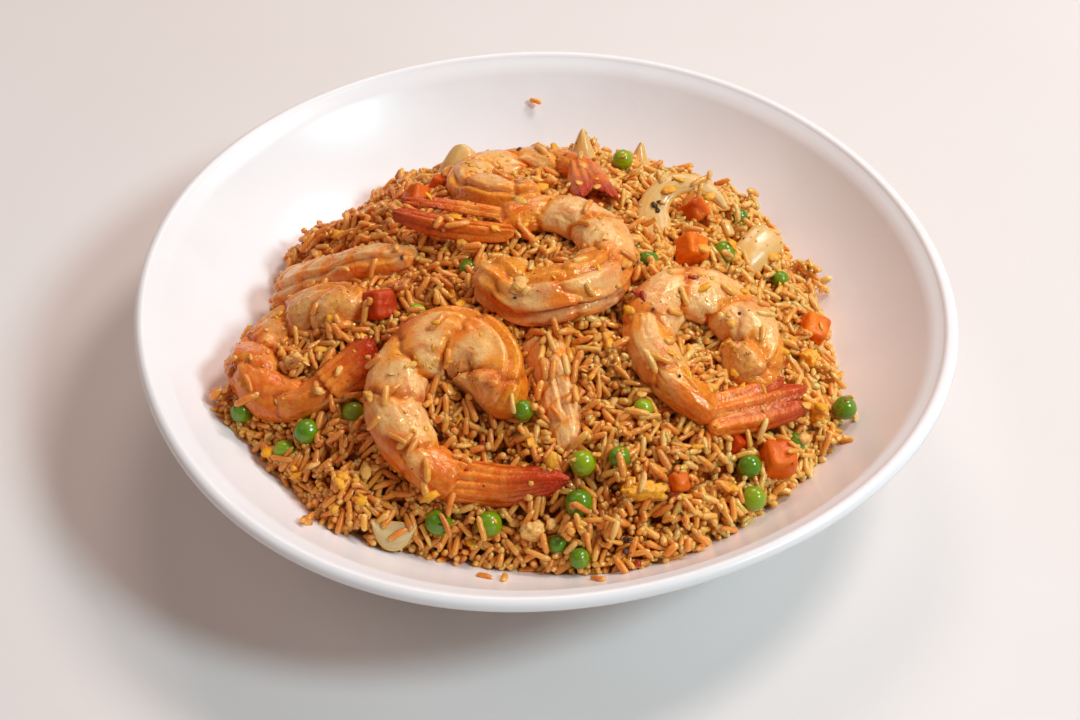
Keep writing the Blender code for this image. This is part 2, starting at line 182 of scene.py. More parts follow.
def putPiece(name, shape, material, nodes=(), marks=None):
    # Makes the mesh object, gives it its marks, and lets it ride on the root body and replace its
    # nodes, which are hidden
    points, quads, tris = shape
    mesh = bpy.data.meshes.new(name)
    loops = np.concatenate((quads.ravel(), tris.ravel())).astype(np.int32)
    starts = np.concatenate((np.arange(len(quads)) * 4, len(quads) * 4 + np.arange(len(tris)) * 3))
    mesh.vertices.add(len(points))
    mesh.vertices.foreach_set("co", points.astype(np.float32).ravel())
    mesh.loops.add(len(loops))
    mesh.loops.foreach_set("vertex_index", loops)
    mesh.polygons.add(len(starts))
    mesh.polygons.foreach_set("loop_start", starts.astype(np.int32))
    mesh.update(calc_edges=True)
    mesh.validate()
    for key, values in (marks or {}).items():
        if values.ndim == 1:
            layer = mesh.attributes.new(key, "FLOAT", "POINT")
            layer.data.foreach_set("value", values.astype(np.float32))
        else:
            layer = mesh.attributes.new(key, "FLOAT_COLOR", "POINT")
            layer.data.foreach_set("color", values.astype(np.float32).ravel())
    mesh.materials.append(material)
    mesh.shade_smooth()
    piece = bpy.data.objects.new(name, mesh)
    bpy.context.scene.collection.objects.link(piece)
    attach(piece, "root")
    if nodes:
        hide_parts(*nodes)
    print(name, "faces", len(starts))
    return piece


def boxOf(node):
    low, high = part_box(node)
    return np.array(low), np.array(high)


def fitTo(points, node):
    # Moves a shape so that the middle of its box is the middle of the node's box
    low, high = boxOf(node)
    return points + (low + high) / 2 - (points.min(0) + points.max(0)) / 2


def turned(points, degrees):
    # Turned about x, then y, then z
    rx, ry, rz = np.radians(degrees)
    aboutX = np.array(((1, 0, 0), (0, math.cos(rx), -math.sin(rx)), (0, math.sin(rx), math.cos(rx))))
    aboutY = np.array(((math.cos(ry), 0, math.sin(ry)), (0, 1, 0), (-math.sin(ry), 0, math.cos(ry))))
    aboutZ = np.array(((math.cos(rz), -math.sin(rz), 0), (math.sin(rz), math.cos(rz), 0), (0, 0, 1)))
    return points @ (aboutZ @ aboutY @ aboutX).T


def ball(rings, sides):
    # Directions over a sphere, ring by ring from the bottom, without the poles
    down = np.linspace(-np.pi / 2, np.pi / 2, rings + 2)[1:-1, None]
    around = np.linspace(0, 2 * np.pi, sides, endpoint=False)[None, :]
    return flat(np.cos(down) * np.cos(around), np.cos(down) * np.sin(around), np.sin(down))


def node(tree, kind, links=None, **settings):
    made = tree.nodes.new(kind)
    for key, value in settings.items():
        setattr(made, key, value)
    for socket, value in (links or {}).items():
        if isinstance(value, bpy.types.NodeSocket):
            tree.links.new(value, made.inputs[socket])
        else:
            made.inputs[socket].default_value = value
    return made


def mixColour(tree, factor, first, second, blend="MIX"):
    links = {0: factor, 6: first, 7: second}
    return node(tree, "ShaderNodeMix", links, data_type="RGBA", blend_type=blend).outputs[2]


def sums(tree, operation, first, second):
    return node(tree, "ShaderNodeMath", {0: first, 1: second}, operation=operation).outputs[0]


def mapTo(tree, value, low, high, toLow=0.0, toHigh=1.0):
    links = {"Value": value, "From Min": low, "From Max": high, "To Min": toLow, "To Max": toHigh}
    return node(tree, "ShaderNodeMapRange", links, interpolation_type="SMOOTHSTEP").outputs[0]


def newGroup(name, inputs, outputs):
    # A shader group with named sockets: inputs are (name, kind, value), outputs (name, kind)
    tree = bpy.data.node_groups.new(name, "ShaderNodeTree")
    for label, kind, value in inputs:
        socket = tree.interface.new_socket(label, in_out="INPUT", socket_type=kind)
        if value is not None:
            socket.default_value = value
    for label, kind in outputs:
        tree.interface.new_socket(label, in_out="OUTPUT", socket_type=kind)
    return tree, tree.nodes.new("NodeGroupInput").outputs, tree.nodes.new("NodeGroupOutput")


def makeMottle():
    # Soft patches: warped noise between two levels
    tree, given, out = newGroup("mottle", (
        ("Vector", "NodeSocketVector", None), ("Scale", "NodeSocketFloat", 100.0),
        ("Low", "NodeSocketFloat", 0.4), ("High", "NodeSocketFloat", 0.6),
        ("Warp", "NodeSocketFloat", 0.5)), (("Mask", "NodeSocketFloat"),))
    tex = node(tree, "ShaderNodeTexNoise", {
        "Vector": given["Vector"], "Scale": given["Scale"], "Detail": 4.0,
        "Roughness": 0.55, "Distortion": given["Warp"]})
    tree.links.new(mapTo(tree, tex.outputs[0], given["Low"], given["High"]), out.inputs["Mask"])
    return tree


def makeSpecks():
    # Small dots: the middles of random cells, kept where a second noise allows
    tree, given, out = newGroup("specks", (
        ("Vector", "NodeSocketVector", None), ("Scale", "NodeSocketFloat", 300.0),
        ("Size", "NodeSocketFloat", 0.2), ("Cover", "NodeSocketFloat", 0.5)),
        (("Mask", "NodeSocketFloat"),))
    warp = node(tree, "ShaderNodeTexNoise", {"Vector": given["Vector"], "Scale": given["Scale"]})
    bent = node(tree, "ShaderNodeVectorMath", {0: warp.outputs[1], 1: (0.0012, 0.0012, 0.0012)},
                operation="MULTIPLY").outputs[0]
    moved = node(tree, "ShaderNodeVectorMath", {0: given["Vector"], 1: bent},
                 operation="ADD").outputs[0]
    cells = node(tree, "ShaderNodeTexVoronoi", {"Vector": moved, "Scale": given["Scale"]})
    dot = sums(tree, "LESS_THAN", cells.outputs["Distance"], given["Size"])
    pick = node(tree, "ShaderNodeSeparateColor", {0: cells.outputs["Color"]}).outputs[0]
    kept = sums(tree, "LESS_THAN", pick, given["Cover"])
    tree.links.new(sums(tree, "MULTIPLY", dot, kept), out.inputs["Mask"])
    return tree


def makeWetFilm():
    # Uneven oil: where the film is thick the surface is smooth
    tree, given, out = newGroup("wetFilm", (
        ("Vector", "NodeSocketVector", None), ("Scale", "NodeSocketFloat", 150.0),
        ("Wet", "NodeSocketFloat", 0.15), ("Dry", "NodeSocketFloat", 0.5)),
        (("Roughness", "NodeSocketFloat"),))
    tex = node(tree, "ShaderNodeTexNoise", {
        "Vector": given["Vector"], "Scale": given["Scale"], "Detail": 3.0, "Roughness": 0.6})
    film = mapTo(tree, tex.outputs[0], 0.38, 0.62)
    rough = node(tree, "ShaderNodeMix", {0: film, 2: given["Dry"], 3: given["Wet"]}, data_type="FLOAT")
    tree.links.new(rough.outputs[0], out.inputs["Roughness"])
    return tree


def makeRelief():
    # A coarse noise with a finer one laid over it, as a height from 0 to about 1
    tree, given, out = newGroup("relief", (
        ("Vector", "NodeSocketVector", None), ("Coarse", "NodeSocketFloat", 200.0),
        ("Fine", "NodeSocketFloat", 900.0), ("Share", "NodeSocketFloat", 0.4)),
        (("Height", "NodeSocketFloat"),))
    big, small = (node(tree, "ShaderNodeTexNoise", {
        "Vector": given["Vector"], "Scale": given[size], "Detail": detail})
        for size, detail in (("Coarse", 3.0), ("Fine", 2.0)))
    part = sums(tree, "MULTIPLY", small.outputs[0], given["Share"])
    tree.links.new(sums(tree, "ADD", big.outputs[0], part), out.inputs["Height"])
    return tree


groups = {
    "mottle": makeMottle(), "specks": makeSpecks(), "wetFilm": makeWetFilm(), "relief": makeRelief(),
}


def effect(tree, name, place, **values):
    # A shader group laid on a piece, with its sockets set
    links = {"Vector": place, **values}
    return node(tree, "ShaderNodeGroup", links, node_tree=groups[name]).outputs[0]


def patches(tree, place, scale, low, high, warp=0.5):
    # A mask of soft patches
    return effect(tree, "mottle", place, Scale=scale, Low=low, High=high, Warp=warp)


def lay(tree, colour, mask, share, above):
    # One colour laid over another through a share of a mask
    return mixColour(tree, sums(tree, "MULTIPLY", mask, share), colour, rgb(*above))


def surface(tree, shader, place, colour, film, relief):
    # Joins up the colour, an uneven wet film (scale, roughness wet and dry) and a relief
    # (coarse and fine scale, share of the fine one, depth in mm, strength)
    tree.links.new(colour, shader.inputs["Base Color"])
    if film:
        scale, wet, dry = film
        rough = effect(tree, "wetFilm", place, Scale=scale, Wet=wet, Dry=dry)
        tree.links.new(rough, shader.inputs["Roughness"])
    coarse, fine, share, depth, strength = relief
    height = effect(tree, "relief", place, Coarse=coarse, Fine=fine, Share=share)
    links = {"Height": height, "Distance": depth * mm, "Strength": strength}
    tree.links.new(node(tree, "ShaderNodeBump", links).outputs[0], shader.inputs["Normal"])


def newMaterial(name, **plain):
    # A material with its shader's plain sockets set; returns material, tree, shader, object coordinates
    material = bpy.data.materials.new(name)
    material.use_nodes = True
    tree = material.node_tree
    shader = tree.nodes["Principled BSDF"]
    for socket, value in plain.items():
        shader.inputs[socket.replace("_", " ")].default_value = value
    place = node(tree, "ShaderNodeTexCoord").outputs["Object"]
    return material, tree, shader, place


def mark(tree, name):
    return node(tree, "ShaderNodeAttribute", attribute_name=name).outputs


def markParts(tree, name):
    # The four values that a piece's marks carry at each point
    found = mark(tree, name)
    return (*node(tree, "ShaderNodeSeparateColor", {0: found["Color"]}).outputs, found["Alpha"])


bowlLow, bowlHigh = boxOf("bowl")
bowl = {
    "rim": (bowlHigh[0] - bowlLow[0]) / 2, "height": bowlHigh[2], "wall": 5.5 * mm,
    "floor": 9 * mm, "power": 3.45, "lobes3": 0.0077, "lobes4": -0.0088,
    "footRadius": 56 * mm, "footWidth": 5 * mm, "footRecess": 3.5 * mm, "segments": 224,
}


def outOfRound(radius, angle):
    # 1 plus the rim's wander, three wide lobes and four narrow ones, growing as radius^4
    wander = bowl["lobes3"] * (np.cos(3 * angle) - np.cos(angle)) + bowl["lobes4"] * np.sin(4 * angle)
    return 1 + wander * np.minimum(radius / bowl["rim"], 1) ** 4


def insideHeight(radius):
    # Floor height plus a power of the radius, reaching the rim's height at the rim
    share = radius / (bowl["rim"] - bowl["wall"])
    return bowl["floor"] + (bowl["height"] - bowl["floor"]) * share ** bowl["power"]


def insideLean(radius):
    rise = bowl["height"] - bowl["floor"]
    inner = bowl["rim"] - bowl["wall"]
    return np.arctan(rise * bowl["power"] / inner * (radius / inner) ** (bowl["power"] - 1))


def bowlInside(x, y):
    radius = np.hypot(x, y)
    return insideHeight(radius / outOfRound(radius, np.arctan2(y, x)))


def bowlShape():
    # The profile runs up the inside, over a round lip, down the outside and under the foot,
    # and is carried round the axis
    inner = bowl["rim"] - bowl["wall"]
    lip = bowl["wall"] / 2
    inside = np.linspace(0.02, 0.985, 34) ** 0.8 * inner
    over = np.radians(np.linspace(150, 0, 11))
    outside = inside[:14:-1]
    lean = insideLean(outside)
    foot = bowl["footRadius"]
    width, recess = bowl["footWidth"], bowl["footRecess"]
    under = np.array(((foot + 3.0 * mm, insideHeight(foot) - bowl["wall"]),
                      (foot + 0.9 * mm, 2.6 * mm), (foot, 0.8 * mm), (foot - 0.7 * mm, 0.0),
                      (foot - width + 0.7 * mm, 0.0), (foot - width, 0.7 * mm),
                      (foot - width - 1.0 * mm, recess - 0.4 * mm), (foot - width - 2.4 * mm, recess),
                      (foot * 0.5, recess), (foot * 0.05, recess)))
    radius = np.concatenate((inside, inner + lip + lip * np.cos(over),
                             outside + bowl["wall"] * np.sin(lean), under[:, 0]))
    height = np.concatenate((insideHeight(inside), bowl["height"] - lip + lip * np.sin(over),
                             insideHeight(outside) - bowl["wall"] * np.cos(lean), under[:, 1]))
    angle = np.linspace(0, 2 * np.pi, bowl["segments"], endpoint=False)[None, :]
    radius, height = radius[:, None], height[:, None]
    reach = radius * outOfRound(radius, angle)
    rows = flat(reach * np.cos(angle), reach * np.sin(angle), height)
    low, high = rows.min((0, 1))[:2], rows.max((0, 1))[:2]
    rows[..., :2] = (rows[..., :2] - low) / (high - low) * (bowlHigh - bowlLow)[:2] + bowlLow[:2]
    return closedTube(rows)


def bowlGlaze():
    # White glaze, a little warm, with faint grey rub marks and a slow ripple
    material, tree, shader, place = newMaterial(
        "bowlGlaze", Roughness=0.3, Specular_IOR_Level=0.35, Coat_Weight=0.15, Coat_Roughness=0.1)
    cloud = patches(tree, place, 22, 0.3, 0.7)
    colour = mixColour(tree, cloud, rgb(246, 242, 240), rgb(249, 246, 244))
    stretch = node(tree, "ShaderNodeMapping", {"Vector": place, "Scale": (1.0, 4.0, 4.0)}).outputs[0]
    colour = lay(tree, colour, patches(tree, stretch, 90, 0.69, 0.76, 0.2), 0.1, (170, 165, 162))
    surface(tree, shader, place, colour, None, (14, 240, 0.02, 0.4, 0.5))
    return material


putPiece("bowl_glazed", bowlShape(), bowlGlaze(), ["bowl"])


heap = {
    "centre": (0.0, -5 * mm), "radius": 111 * mm, "top": 74 * mm, "power": 2.3,
    "shoulder": 4 * mm, "gap": 1.4 * mm, "lump": 1.1 * mm,
    # spurs and hollows of the foot: direction in degrees, reach and half width
    "spurs": ((-160, 5 * mm, 7), (-126, 4 * mm, 7), (-66, 4 * mm, 10), (-24, 3 * mm, 6),
              (165, -10 * mm, 16), (138, -5 * mm, 12), (2, -12 * mm, 18), (32, -3 * mm, 10)),
    # where the loose grains are piled above the heap: place, width and height in mm
    "raised": ((56, 86, 13, 7.0), (74, 70, 12, 6.0), (92, 50, 9, 4.0), (100, 20, 8, 3.0),
               (-66, 84, 9, 4.0), (-98, 34, 8, 3.0), (-58, -98, 10, 2.0), (6, -60, 13, -2.6),
               (15, 69, 8, -3.0), (36, 76, 8, -3.5), (50, 28, 13, -2.5), (78, 16, 10, -4.0),
               (-48, -101, 8, -3.0)),
    "coreDepth": 3.4 * mm, "coreRings": 90, "coreSides": 260,
}


def heapReach(angle):
    # Radius of the heap's foot: a round with waves, and a bell for each spur or hollow
    reach = heap["radius"] + 2 * mm * np.cos(2 * angle) + 2.2 * mm * np.sin(5 * angle + 1.2)
    reach = reach + 1.5 * mm * np.cos(9 * angle)
    for degrees, length, width in heap["spurs"]:
        off = (np.degrees(angle) - degrees + 180) % 360 - 180
        reach = reach + length * bell(off, width)
    return reach


def heapHeight(x, y):
    # A dome, 1 - share^power, on an upright shoulder, with low lumps
    dx, dy = x - heap["centre"][0], y - heap["centre"][1]
    angle = np.arctan2(dy, dx)
    reach = heapReach(angle)
    out = np.minimum(np.hypot(dx, dy) / reach, 1)
    foot = bowlInside(heap["centre"][0] + reach * np.cos(angle),
                      heap["centre"][1] + reach * np.sin(angle))
    foot = foot + heap["gap"]
    dome = (heap["top"] - heap["shoulder"] - foot) * (1 - out ** heap["power"])
    edge = heap["shoulder"] * np.sqrt(1 - out ** 12)
    lumps = np.sin(110 * x + 60 * y) * np.cos(95 * y - 40 * x + 1)
    lumps = lumps + 0.6 * np.sin(210 * x - 120 * y + 2) * np.sin(190 * y + 0.5)
    return foot + dome + edge + heap["lump"] * lumps * (1 - out ** 8)


def heapShare(x, y):
    # Distance from the heap's middle as a share of its reach in that direction
    dx, dy = x - heap["centre"][0], y - heap["centre"][1]
    return np.hypot(dx, dy) / heapReach(np.arctan2(dy, dx))


def heapUp(x, y):
    step = 4 * mm
    slopeX = (heapHeight(x + step, y) - heapHeight(x - step, y)) / (2 * step)
    slopeY = (heapHeight(x, y + step) - heapHeight(x, y - step)) / (2 * step)
    return unit(flat(-slopeX, -slopeY, np.ones_like(slopeX)))


def riceTop(x, y):
    # The height the grains reach: just under the heap's own, with soft hills and hollows
    share = heapShare(x, y)
    wander = 1.5 * clouds(flat(x, y), 19 * mm, 5, 2) + 2.2 * noise(flat(x, y), 10 * mm, 8)
    pits = smooth(0.18, 0.55, noise(flat(x, y), 7 * mm, 14) - 0.12 * smooth(-0.02, 0.06, x + 0.4 * y))
    wander = wander - 6.0 * pits
    top = heapHeight(x, y) - 2.2 * mm + mm * wander * smooth(1.0, 0.85, share)
    for px, py, width, height in heap["raised"]:
        top = top + height * mm * bell(np.hypot(x - px * mm, y - py * mm), width * mm)
    return top


def coreTop(x, y):
    # The rice lowered by the depth of loose grains, never under the bowl's inside
    relief = 0.5 * mm * clouds(flat(x, y), 3 * mm, 3, 2) - 6 * mm * smooth(0.86, 0.96, heapShare(x, y))
    depth = heap["coreDepth"] * (1 - 0.25 * smooth(-0.02, 0.07, x + 0.4 * y))
    return np.maximum(riceTop(x, y) - depth + relief, bowlInside(x, y) + 0.25 * mm)


def coreShape():
    share = np.linspace(0.01, 0.95, heap["coreRings"])[:, None]
    angle = np.linspace(0, 2 * np.pi, heap["coreSides"], endpoint=False)[None, :]
    reach = share * heapReach(angle)
    x = heap["centre"][0] + reach * np.cos(angle)
    y = heap["centre"][1] + reach * np.sin(angle)
    top = flat(x, y, coreTop(x, y))
    under = flat(x, y, bowlInside(x, y) + 0.15 * mm)[::-1]
    rows = np.concatenate((top, under))
    # The last mark rises towards the right and back: painted light on the core
    return closedTube(rows), spread(smooth(-0.06, 0.08, rows[..., 0] + 0.4 * rows[..., 1]), rows)


def coreSauce():
    # Sauced rice seen only between the grains: dark, partly from sauce and partly as painted shade in
    # the gaps, and painted lighter towards the right and back where the light falls
    material, tree, shader, place = newMaterial("packedRice", Roughness=0.4)
    colour = mixColour(tree, patches(tree, place, 160, 0.35, 0.65), rgb(116, 50, 6), rgb(160, 78, 14))
    # Painted light: the core turns lighter towards the right and back, where the light falls
    colour = mixColour(tree, mark(tree, "paintedLightSide")["Fac"], colour, rgb(208, 114, 30))
    surface(tree, shader, place, colour, None, (260, 700, 0.4, 1.2, 1.0))
    return material


shape, paintedLightSide = coreShape()
putPiece("rice_core", shape, coreSauce(), ["rice_heap"], {"paintedLightSide": paintedLightSide})


# Middle of the curl, heading at the head end, how far the body curls, extra bend near the
# head, and the hand of the curl; lengths in mm, angles in degrees.
# petals: side share, length share, width share and inward curl of each part of the tail.
# furrows: angle round the body (0 the outer edge, 90 the top), depth share, where along the
# body it starts and ends, and how far the browned flap beside it reaches round the body.
# red, yellow, white and folds are how strong each marking is; from redFrom on it is all redder.
closedTail = ((-0.9, 0.93, 1.3, 0.35), (0.9, 0.88, 1.3, 0.35),
              (-0.25, 1.0, 1.2, 0.2), (0.4, 0.97, 1.15, 0.2))
shrimps = {
    "front": dict(
        x=-35, y=-65, yaw=49, turn=300, body=97, quick=0.54, hand=1, thick=23, lift=4,
        tail=32, flick=2, open=2.0, petals=closedTail, red=0.85, yellow=0.6, white=1.0, folds=1.0,
        furrows=((50, 0.20, 0.0, 0.36, -70), (120, 0.10, 0.0, 0.2, 0))),
    "left": dict(
        x=-86, y=-34, yaw=99, turn=288, body=95, quick=0.23, hand=1, thick=20, lift=4,
        tail=15, flick=10, open=4.6, red=0.8, yellow=0.9, white=1.5, folds=1.0, redFrom=0.36,
        petals=((-0.9, 0.95, 1.7, 0.1), (0.9, 0.9, 1.7, 0.1),
                (-0.3, 1.0, 1.6, 0), (0.35, 0.97, 1.6, 0)),
        furrows=((58, 0.22, 0.05, 0.62, -60),)),
    "upper_left": dict(
        x=-70, y=7, yaw=-28, turn=22, body=52, quick=0.0, hand=1, thick=18, lift=1,
        tail=12, flick=10, open=3.0, petals=(), red=0.35, yellow=0.35, white=2.3, folds=0.35,
        furrows=((48, 0.16, 0.0, 1.0, 0),)),
    "centre": dict(
        x=5, y=-9, yaw=-63, turn=289, body=107, quick=0.04, hand=1, thick=21, lift=5,
        tail=37, flick=-58, open=8.5, red=0.35, yellow=0.7, white=1.9, folds=0.9,
        petals=((-1, 1.0, 1.15, 0.6), (-0.72, 0.9, 0.8, 0.5),
                (0.72, 0.92, 0.8, 0.5), (1, 0.97, 1.15, 0.6)),
        furrows=((76, 0.18, 0.0, 0.48, 55), (4, 0.20, 0.03, 0.46, 0))),
    "back": dict(
        x=-11, y=48, yaw=-150, turn=280, body=97, quick=0.23, hand=-1, thick=18, lift=3,
        tail=30, flick=14, open=7.0, red=0.65, yellow=0.8, white=0.95, folds=1.0,
        petals=((-1, 0.95, 1.2, 0.1), (-0.5, 0.8, 1.1, 0), (0.5, 0.9, 1.1, 0), (1, 1.0, 1.2, 0.1)),
        furrows=((55, 0.18, 0.0, 0.35, -60),)),
    "right": dict(
        x=51, y=-41, yaw=26, turn=322, body=110, quick=0.44, hand=1, thick=20, lift=4,
        tail=34, flick=33, open=6.5, red=0.45, yellow=0.7, white=1.8, folds=1.0,
        petals=((-1.2, 0.8, 1.15, 0.1), (-0.35, 1.0, 1.2, 0.2), (0.9, 0.97, 1.25, 0.35)),
        furrows=((44, 0.20, 0.0, 0.40, -65), (130, 0.08, 0.02, 0.25, 0))),
    "sunk": dict(
        x=4, y=-61, yaw=-72, turn=12, body=42, quick=0.0, hand=-1, thick=15, lift=-3,
        tail=4, flick=0, open=1.0, petals=(), red=0.05, yellow=0.15, white=2.5, folds=0.12,
        furrows=((82, 0.20, 0.0, 0.75, 0),)),
}
shrimpMake = {
    "rings": 200, "sides": 88, "flatness": 0.82, "segments": 5.6, "petalRings": 40, "petalSides": 36,
}


def headingAt(shape, along):
    bend = along + shape["quick"] * along * (1 - along)
    return np.radians(shape["yaw"] + shape["hand"] * shape["turn"] * bend)


def spineAt(shape, along):
    # The middle line, stepped along its heading and centred on the curl's middle
    steps = 120
    heading = headingAt(shape, (np.arange(steps) + 0.5) / steps)
    step = shape["body"] * mm / steps
    line = np.zeros((steps + 1, 2))
    line[1:] = np.cumsum(step * np.stack((np.cos(heading), np.sin(heading)), -1), 0)
    line += np.array((shape["x"], shape["y"])) * mm - line.mean(0)
    at = np.linspace(0, 1, steps + 1)
    return np.interp(along, at, line[:, 0]), np.interp(along, at, line[:, 1])


def axesAt(x, y, heading, hand):
    # Forward along the spine, towards the back, and up from the rice
    up = heapUp(x, y)
    forward = flat(np.cos(heading), np.sin(heading), np.zeros_like(heading))
    forward = unit(forward - up * (forward * up).sum(-1, keepdims=True))
    return forward, np.cross(forward, up) * hand, up


def bodyShape(name, shape, seed):
    # A blunt round section that tapers to the tail.  Each segment swells, its rear edge laps
    # over the next with a small step, and furrows with raised lips run along the body.
    made = shrimpMake
    t = np.linspace(0, 1, made["rings"])
    along = np.interp(t, (0, 0.1, 0.94, 1), (0.0015, 0.035, 0.985, 1.0))
    turn = np.linspace(0, 2 * np.pi, made["sides"], endpoint=False)
    x, y = spineAt(shape, along)
    back, up = axesAt(x, y, headingAt(shape, along), shape["hand"])[1:]
    middle = flat(x, y, heapHeight(x, y) + shape["lift"] * mm)
    a, s = along[:, None], turn[None, :]
    grid = flat(a * shape["body"] / 100, np.cos(s) / 4, np.sin(s) / 4)
    rough = clouds(grid, 0.13, seed)
    fine = clouds(grid, 0.035, seed + 5, 2)
    tiny = clouds(grid, 0.016, seed + 13, 2)
    segment = a * made["segments"] + 0.35 + 0.20 * np.sin(1.5 * s) + 0.12 * rough + 0.03 * fine
    part = segment % 1
    fold = np.minimum(part, 1 - part)
    lap = part * smooth(1.0, 0.95, part)
    dorsal = (1 + np.cos(s)) / 2
    half = shape["thick"] * mm / 2 * (1 - 0.48 * a ** 2.2)
    headCap = np.sqrt(1 - (1 - np.clip(a / 0.055, 0, 1)) ** 2)
    tailCap = 1 - 0.42 * smooth(0.95, 1.0, a)
    swell = 0.05 * np.sin(np.pi * part) ** 0.7 * (1 + 1.4 * (1 - dorsal)) + 0.05 * lap
    swell = shape["folds"] * (swell - 0.06 * bell(fold, 0.035) - 0.10 * bell(fold, 0.09) * (1 - dorsal))
    lobes = 0.08 * np.cos(3 * s + seed) * bell(a, 0.12)
    relief = 1 + swell + lobes + 0.05 * rough
    crease, flap = 0 * rough, 0 * rough
    for degrees, depth, start, end, reach in shape["furrows"]:
        on = smooth(start - 0.04, start + 0.04, a) * smooth(end + 0.04, end - 0.04, a)
        off = (s - math.radians(degrees) - 0.16 * rough - 0.05 * fine + np.pi) % (2 * np.pi) - np.pi
        relief = relief - on * depth * (bell(off, 0.13) - 0.45 * bell(np.abs(off) - 0.32, 0.15))
        crease = np.maximum(crease, on * bell(off, 0.055))
        if reach:
            beside = off * math.copysign(1, reach) / math.radians(abs(reach))
            near = on * smooth(-0.04, 0.05, beside)
            flap = np.maximum(flap, near * smooth(1.1, 0.75, beside + 0.15 * rough))
    size = half * headCap * tailCap * relief + mm * (0.20 * fine + 0.09 * tiny) * headCap
    reach = size * np.cos(s)
    height = made["flatness"] * size * np.sin(s) * (1 + 0.12 * np.cos(s))
    rows = middle[:, None, :] + back[:, None, :] * reach[..., None] + up[:, None, :] * height[..., None]
    rows[..., 2] -= max(rows[..., 2].max() - boxOf("shrimp_" + name)[1][2], 0)
    shell = smooth(0.82, 0.90, a + 0.03 * rough) * bool(shape["petals"])
    patch = smooth(0.30, 0.95, clouds(grid, 0.09, seed + 17) + 0.3 * fine)
    band = smooth(0.50, 0.95, part + 0.34 * rough + 0.16 * fine)
    band = band * smooth(0.0, 0.5, dorsal + 0.35 * rough)
    edge = smooth(0.84, 1.0, dorsal + 0.08 * rough)
    band = shape["red"] * (0.85 * band + 0.75 * edge + 0.45 * patch) + 0.30 * flap
    late = smooth(-0.12, 0.12, a - shape.get("redFrom", 2.0) + 0.05 * rough)
    band = np.clip(band + 0.55 * late, 0, 1) * (1 - shell) + 0.75 * shell
    pale = smooth(0.1, 0.75, np.sin(np.pi * part) * (1.15 - 0.7 * dorsal) + 0.4 * rough + 0.15 * fine)
    pale = np.clip(pale * shape["white"], 0, 1) * (1 - shell) * (1 - 0.9 * flap) * (1 - 0.75 * late)
    line = bell(fold, 0.04 + 0.015 * fine) * smooth(-0.5, 0.2, rough)
    line = line * smooth(0.05, 0.45, dorsal) * shape["folds"]
    furrow = 0.75 * crease * smooth(-0.8, 0.1, rough + fine)
    line = np.clip(line * (0.45 + 0.5 * shape["red"]) + furrow, 0, 1)
    egg = smooth(0.1, 0.8, clouds(grid, 0.16, seed + 21) + 0.35 * fine) * shape["yellow"]
    egg = np.clip(egg + 0.85 * flap * (0.7 + 0.3 * fine) + 0.4 * shape["yellow"] * bell(a, 0.16), 0, 1)
    marks = np.stack([spread(m, rows) for m in (band, pale, line, egg)], -1)
    return rows, marks


def fleshFinish():
    # Cooked shrimp: peach flesh, clearer pale muscle, orange bands, red-brown folds, browned
    # egg glaze with caramel spots, a stipple of orange dots and an uneven film of oil
    material, tree, shader, place = newMaterial(
        "shrimpFlesh", Subsurface_Weight=0.4, Subsurface_Radius=(1.0, 0.5, 0.2),
        Subsurface_Scale=3.0 * mm, Specular_IOR_Level=0.6, Specular_Tint=(1.0, 0.76, 0.5, 1.0))
    band, pale, line, egg = markParts(tree, "masks")
    vein = patches(tree, place, 330, 0.40, 0.66, 1.2)
    tone = patches(tree, place, 110, 0.35, 0.65, 0.6)
    colour = mixColour(tree, tone, rgb(251, 142, 44), rgb(255, 170, 70))
    colour = lay(tree, colour, pale, 0.9, (255, 204, 134))
    deep = mixColour(tree, vein, rgb(230, 108, 22), rgb(200, 70, 8))
    colour = mixColour(tree, sums(tree, "MULTIPLY", band, 0.75), colour, deep)
    blush = sums(tree, "ADD", sums(tree, "MULTIPLY", band, 0.6), 0.16)
    colour = lay(tree, colour, patches(tree, place, 95, 0.50, 0.58, 1.6), blush, (228, 98, 16))
    stain = mixColour(tree, vein, rgb(248, 180, 50), rgb(230, 136, 18))
    colour = mixColour(tree, sums(tree, "MULTIPLY", egg, 0.6), colour, stain)
    stipple = effect(tree, "specks", place, Scale=950, Size=0.26, Cover=0.6)
    colour = lay(tree, colour, stipple, 0.38, (218, 104, 40))
    colour = lay(tree, colour, line, 0.85, (168, 46, 8))
    # Thin threads are the narrow band between two levels of one noise
    outer, inner = (patches(tree, place, 130, low, low + 0.03, 2.0) for low in (0.50, 0.53))
    browned = sums(tree, "ADD", sums(tree, "MULTIPLY", egg, 0.3), 0.15)
    colour = lay(tree, colour, sums(tree, "SUBTRACT", outer, inner), browned, (190, 74, 20))
    colour = lay(tree, colour, patches(tree, place, 900, 0.45, 0.7, 0.3), 0.14, (200, 108, 40))
    burnt = sums(tree, "ADD", sums(tree, "MULTIPLY", egg, 0.7), 0.1)
    colour = lay(tree, colour, patches(tree, place, 240, 0.66, 0.72, 0.8), burnt, (186, 82, 16))
    surface(tree, shader, place, colour, (200, 0.1, 0.28), (400, 1000, 0.25, 0.5, 0.8))
    return material


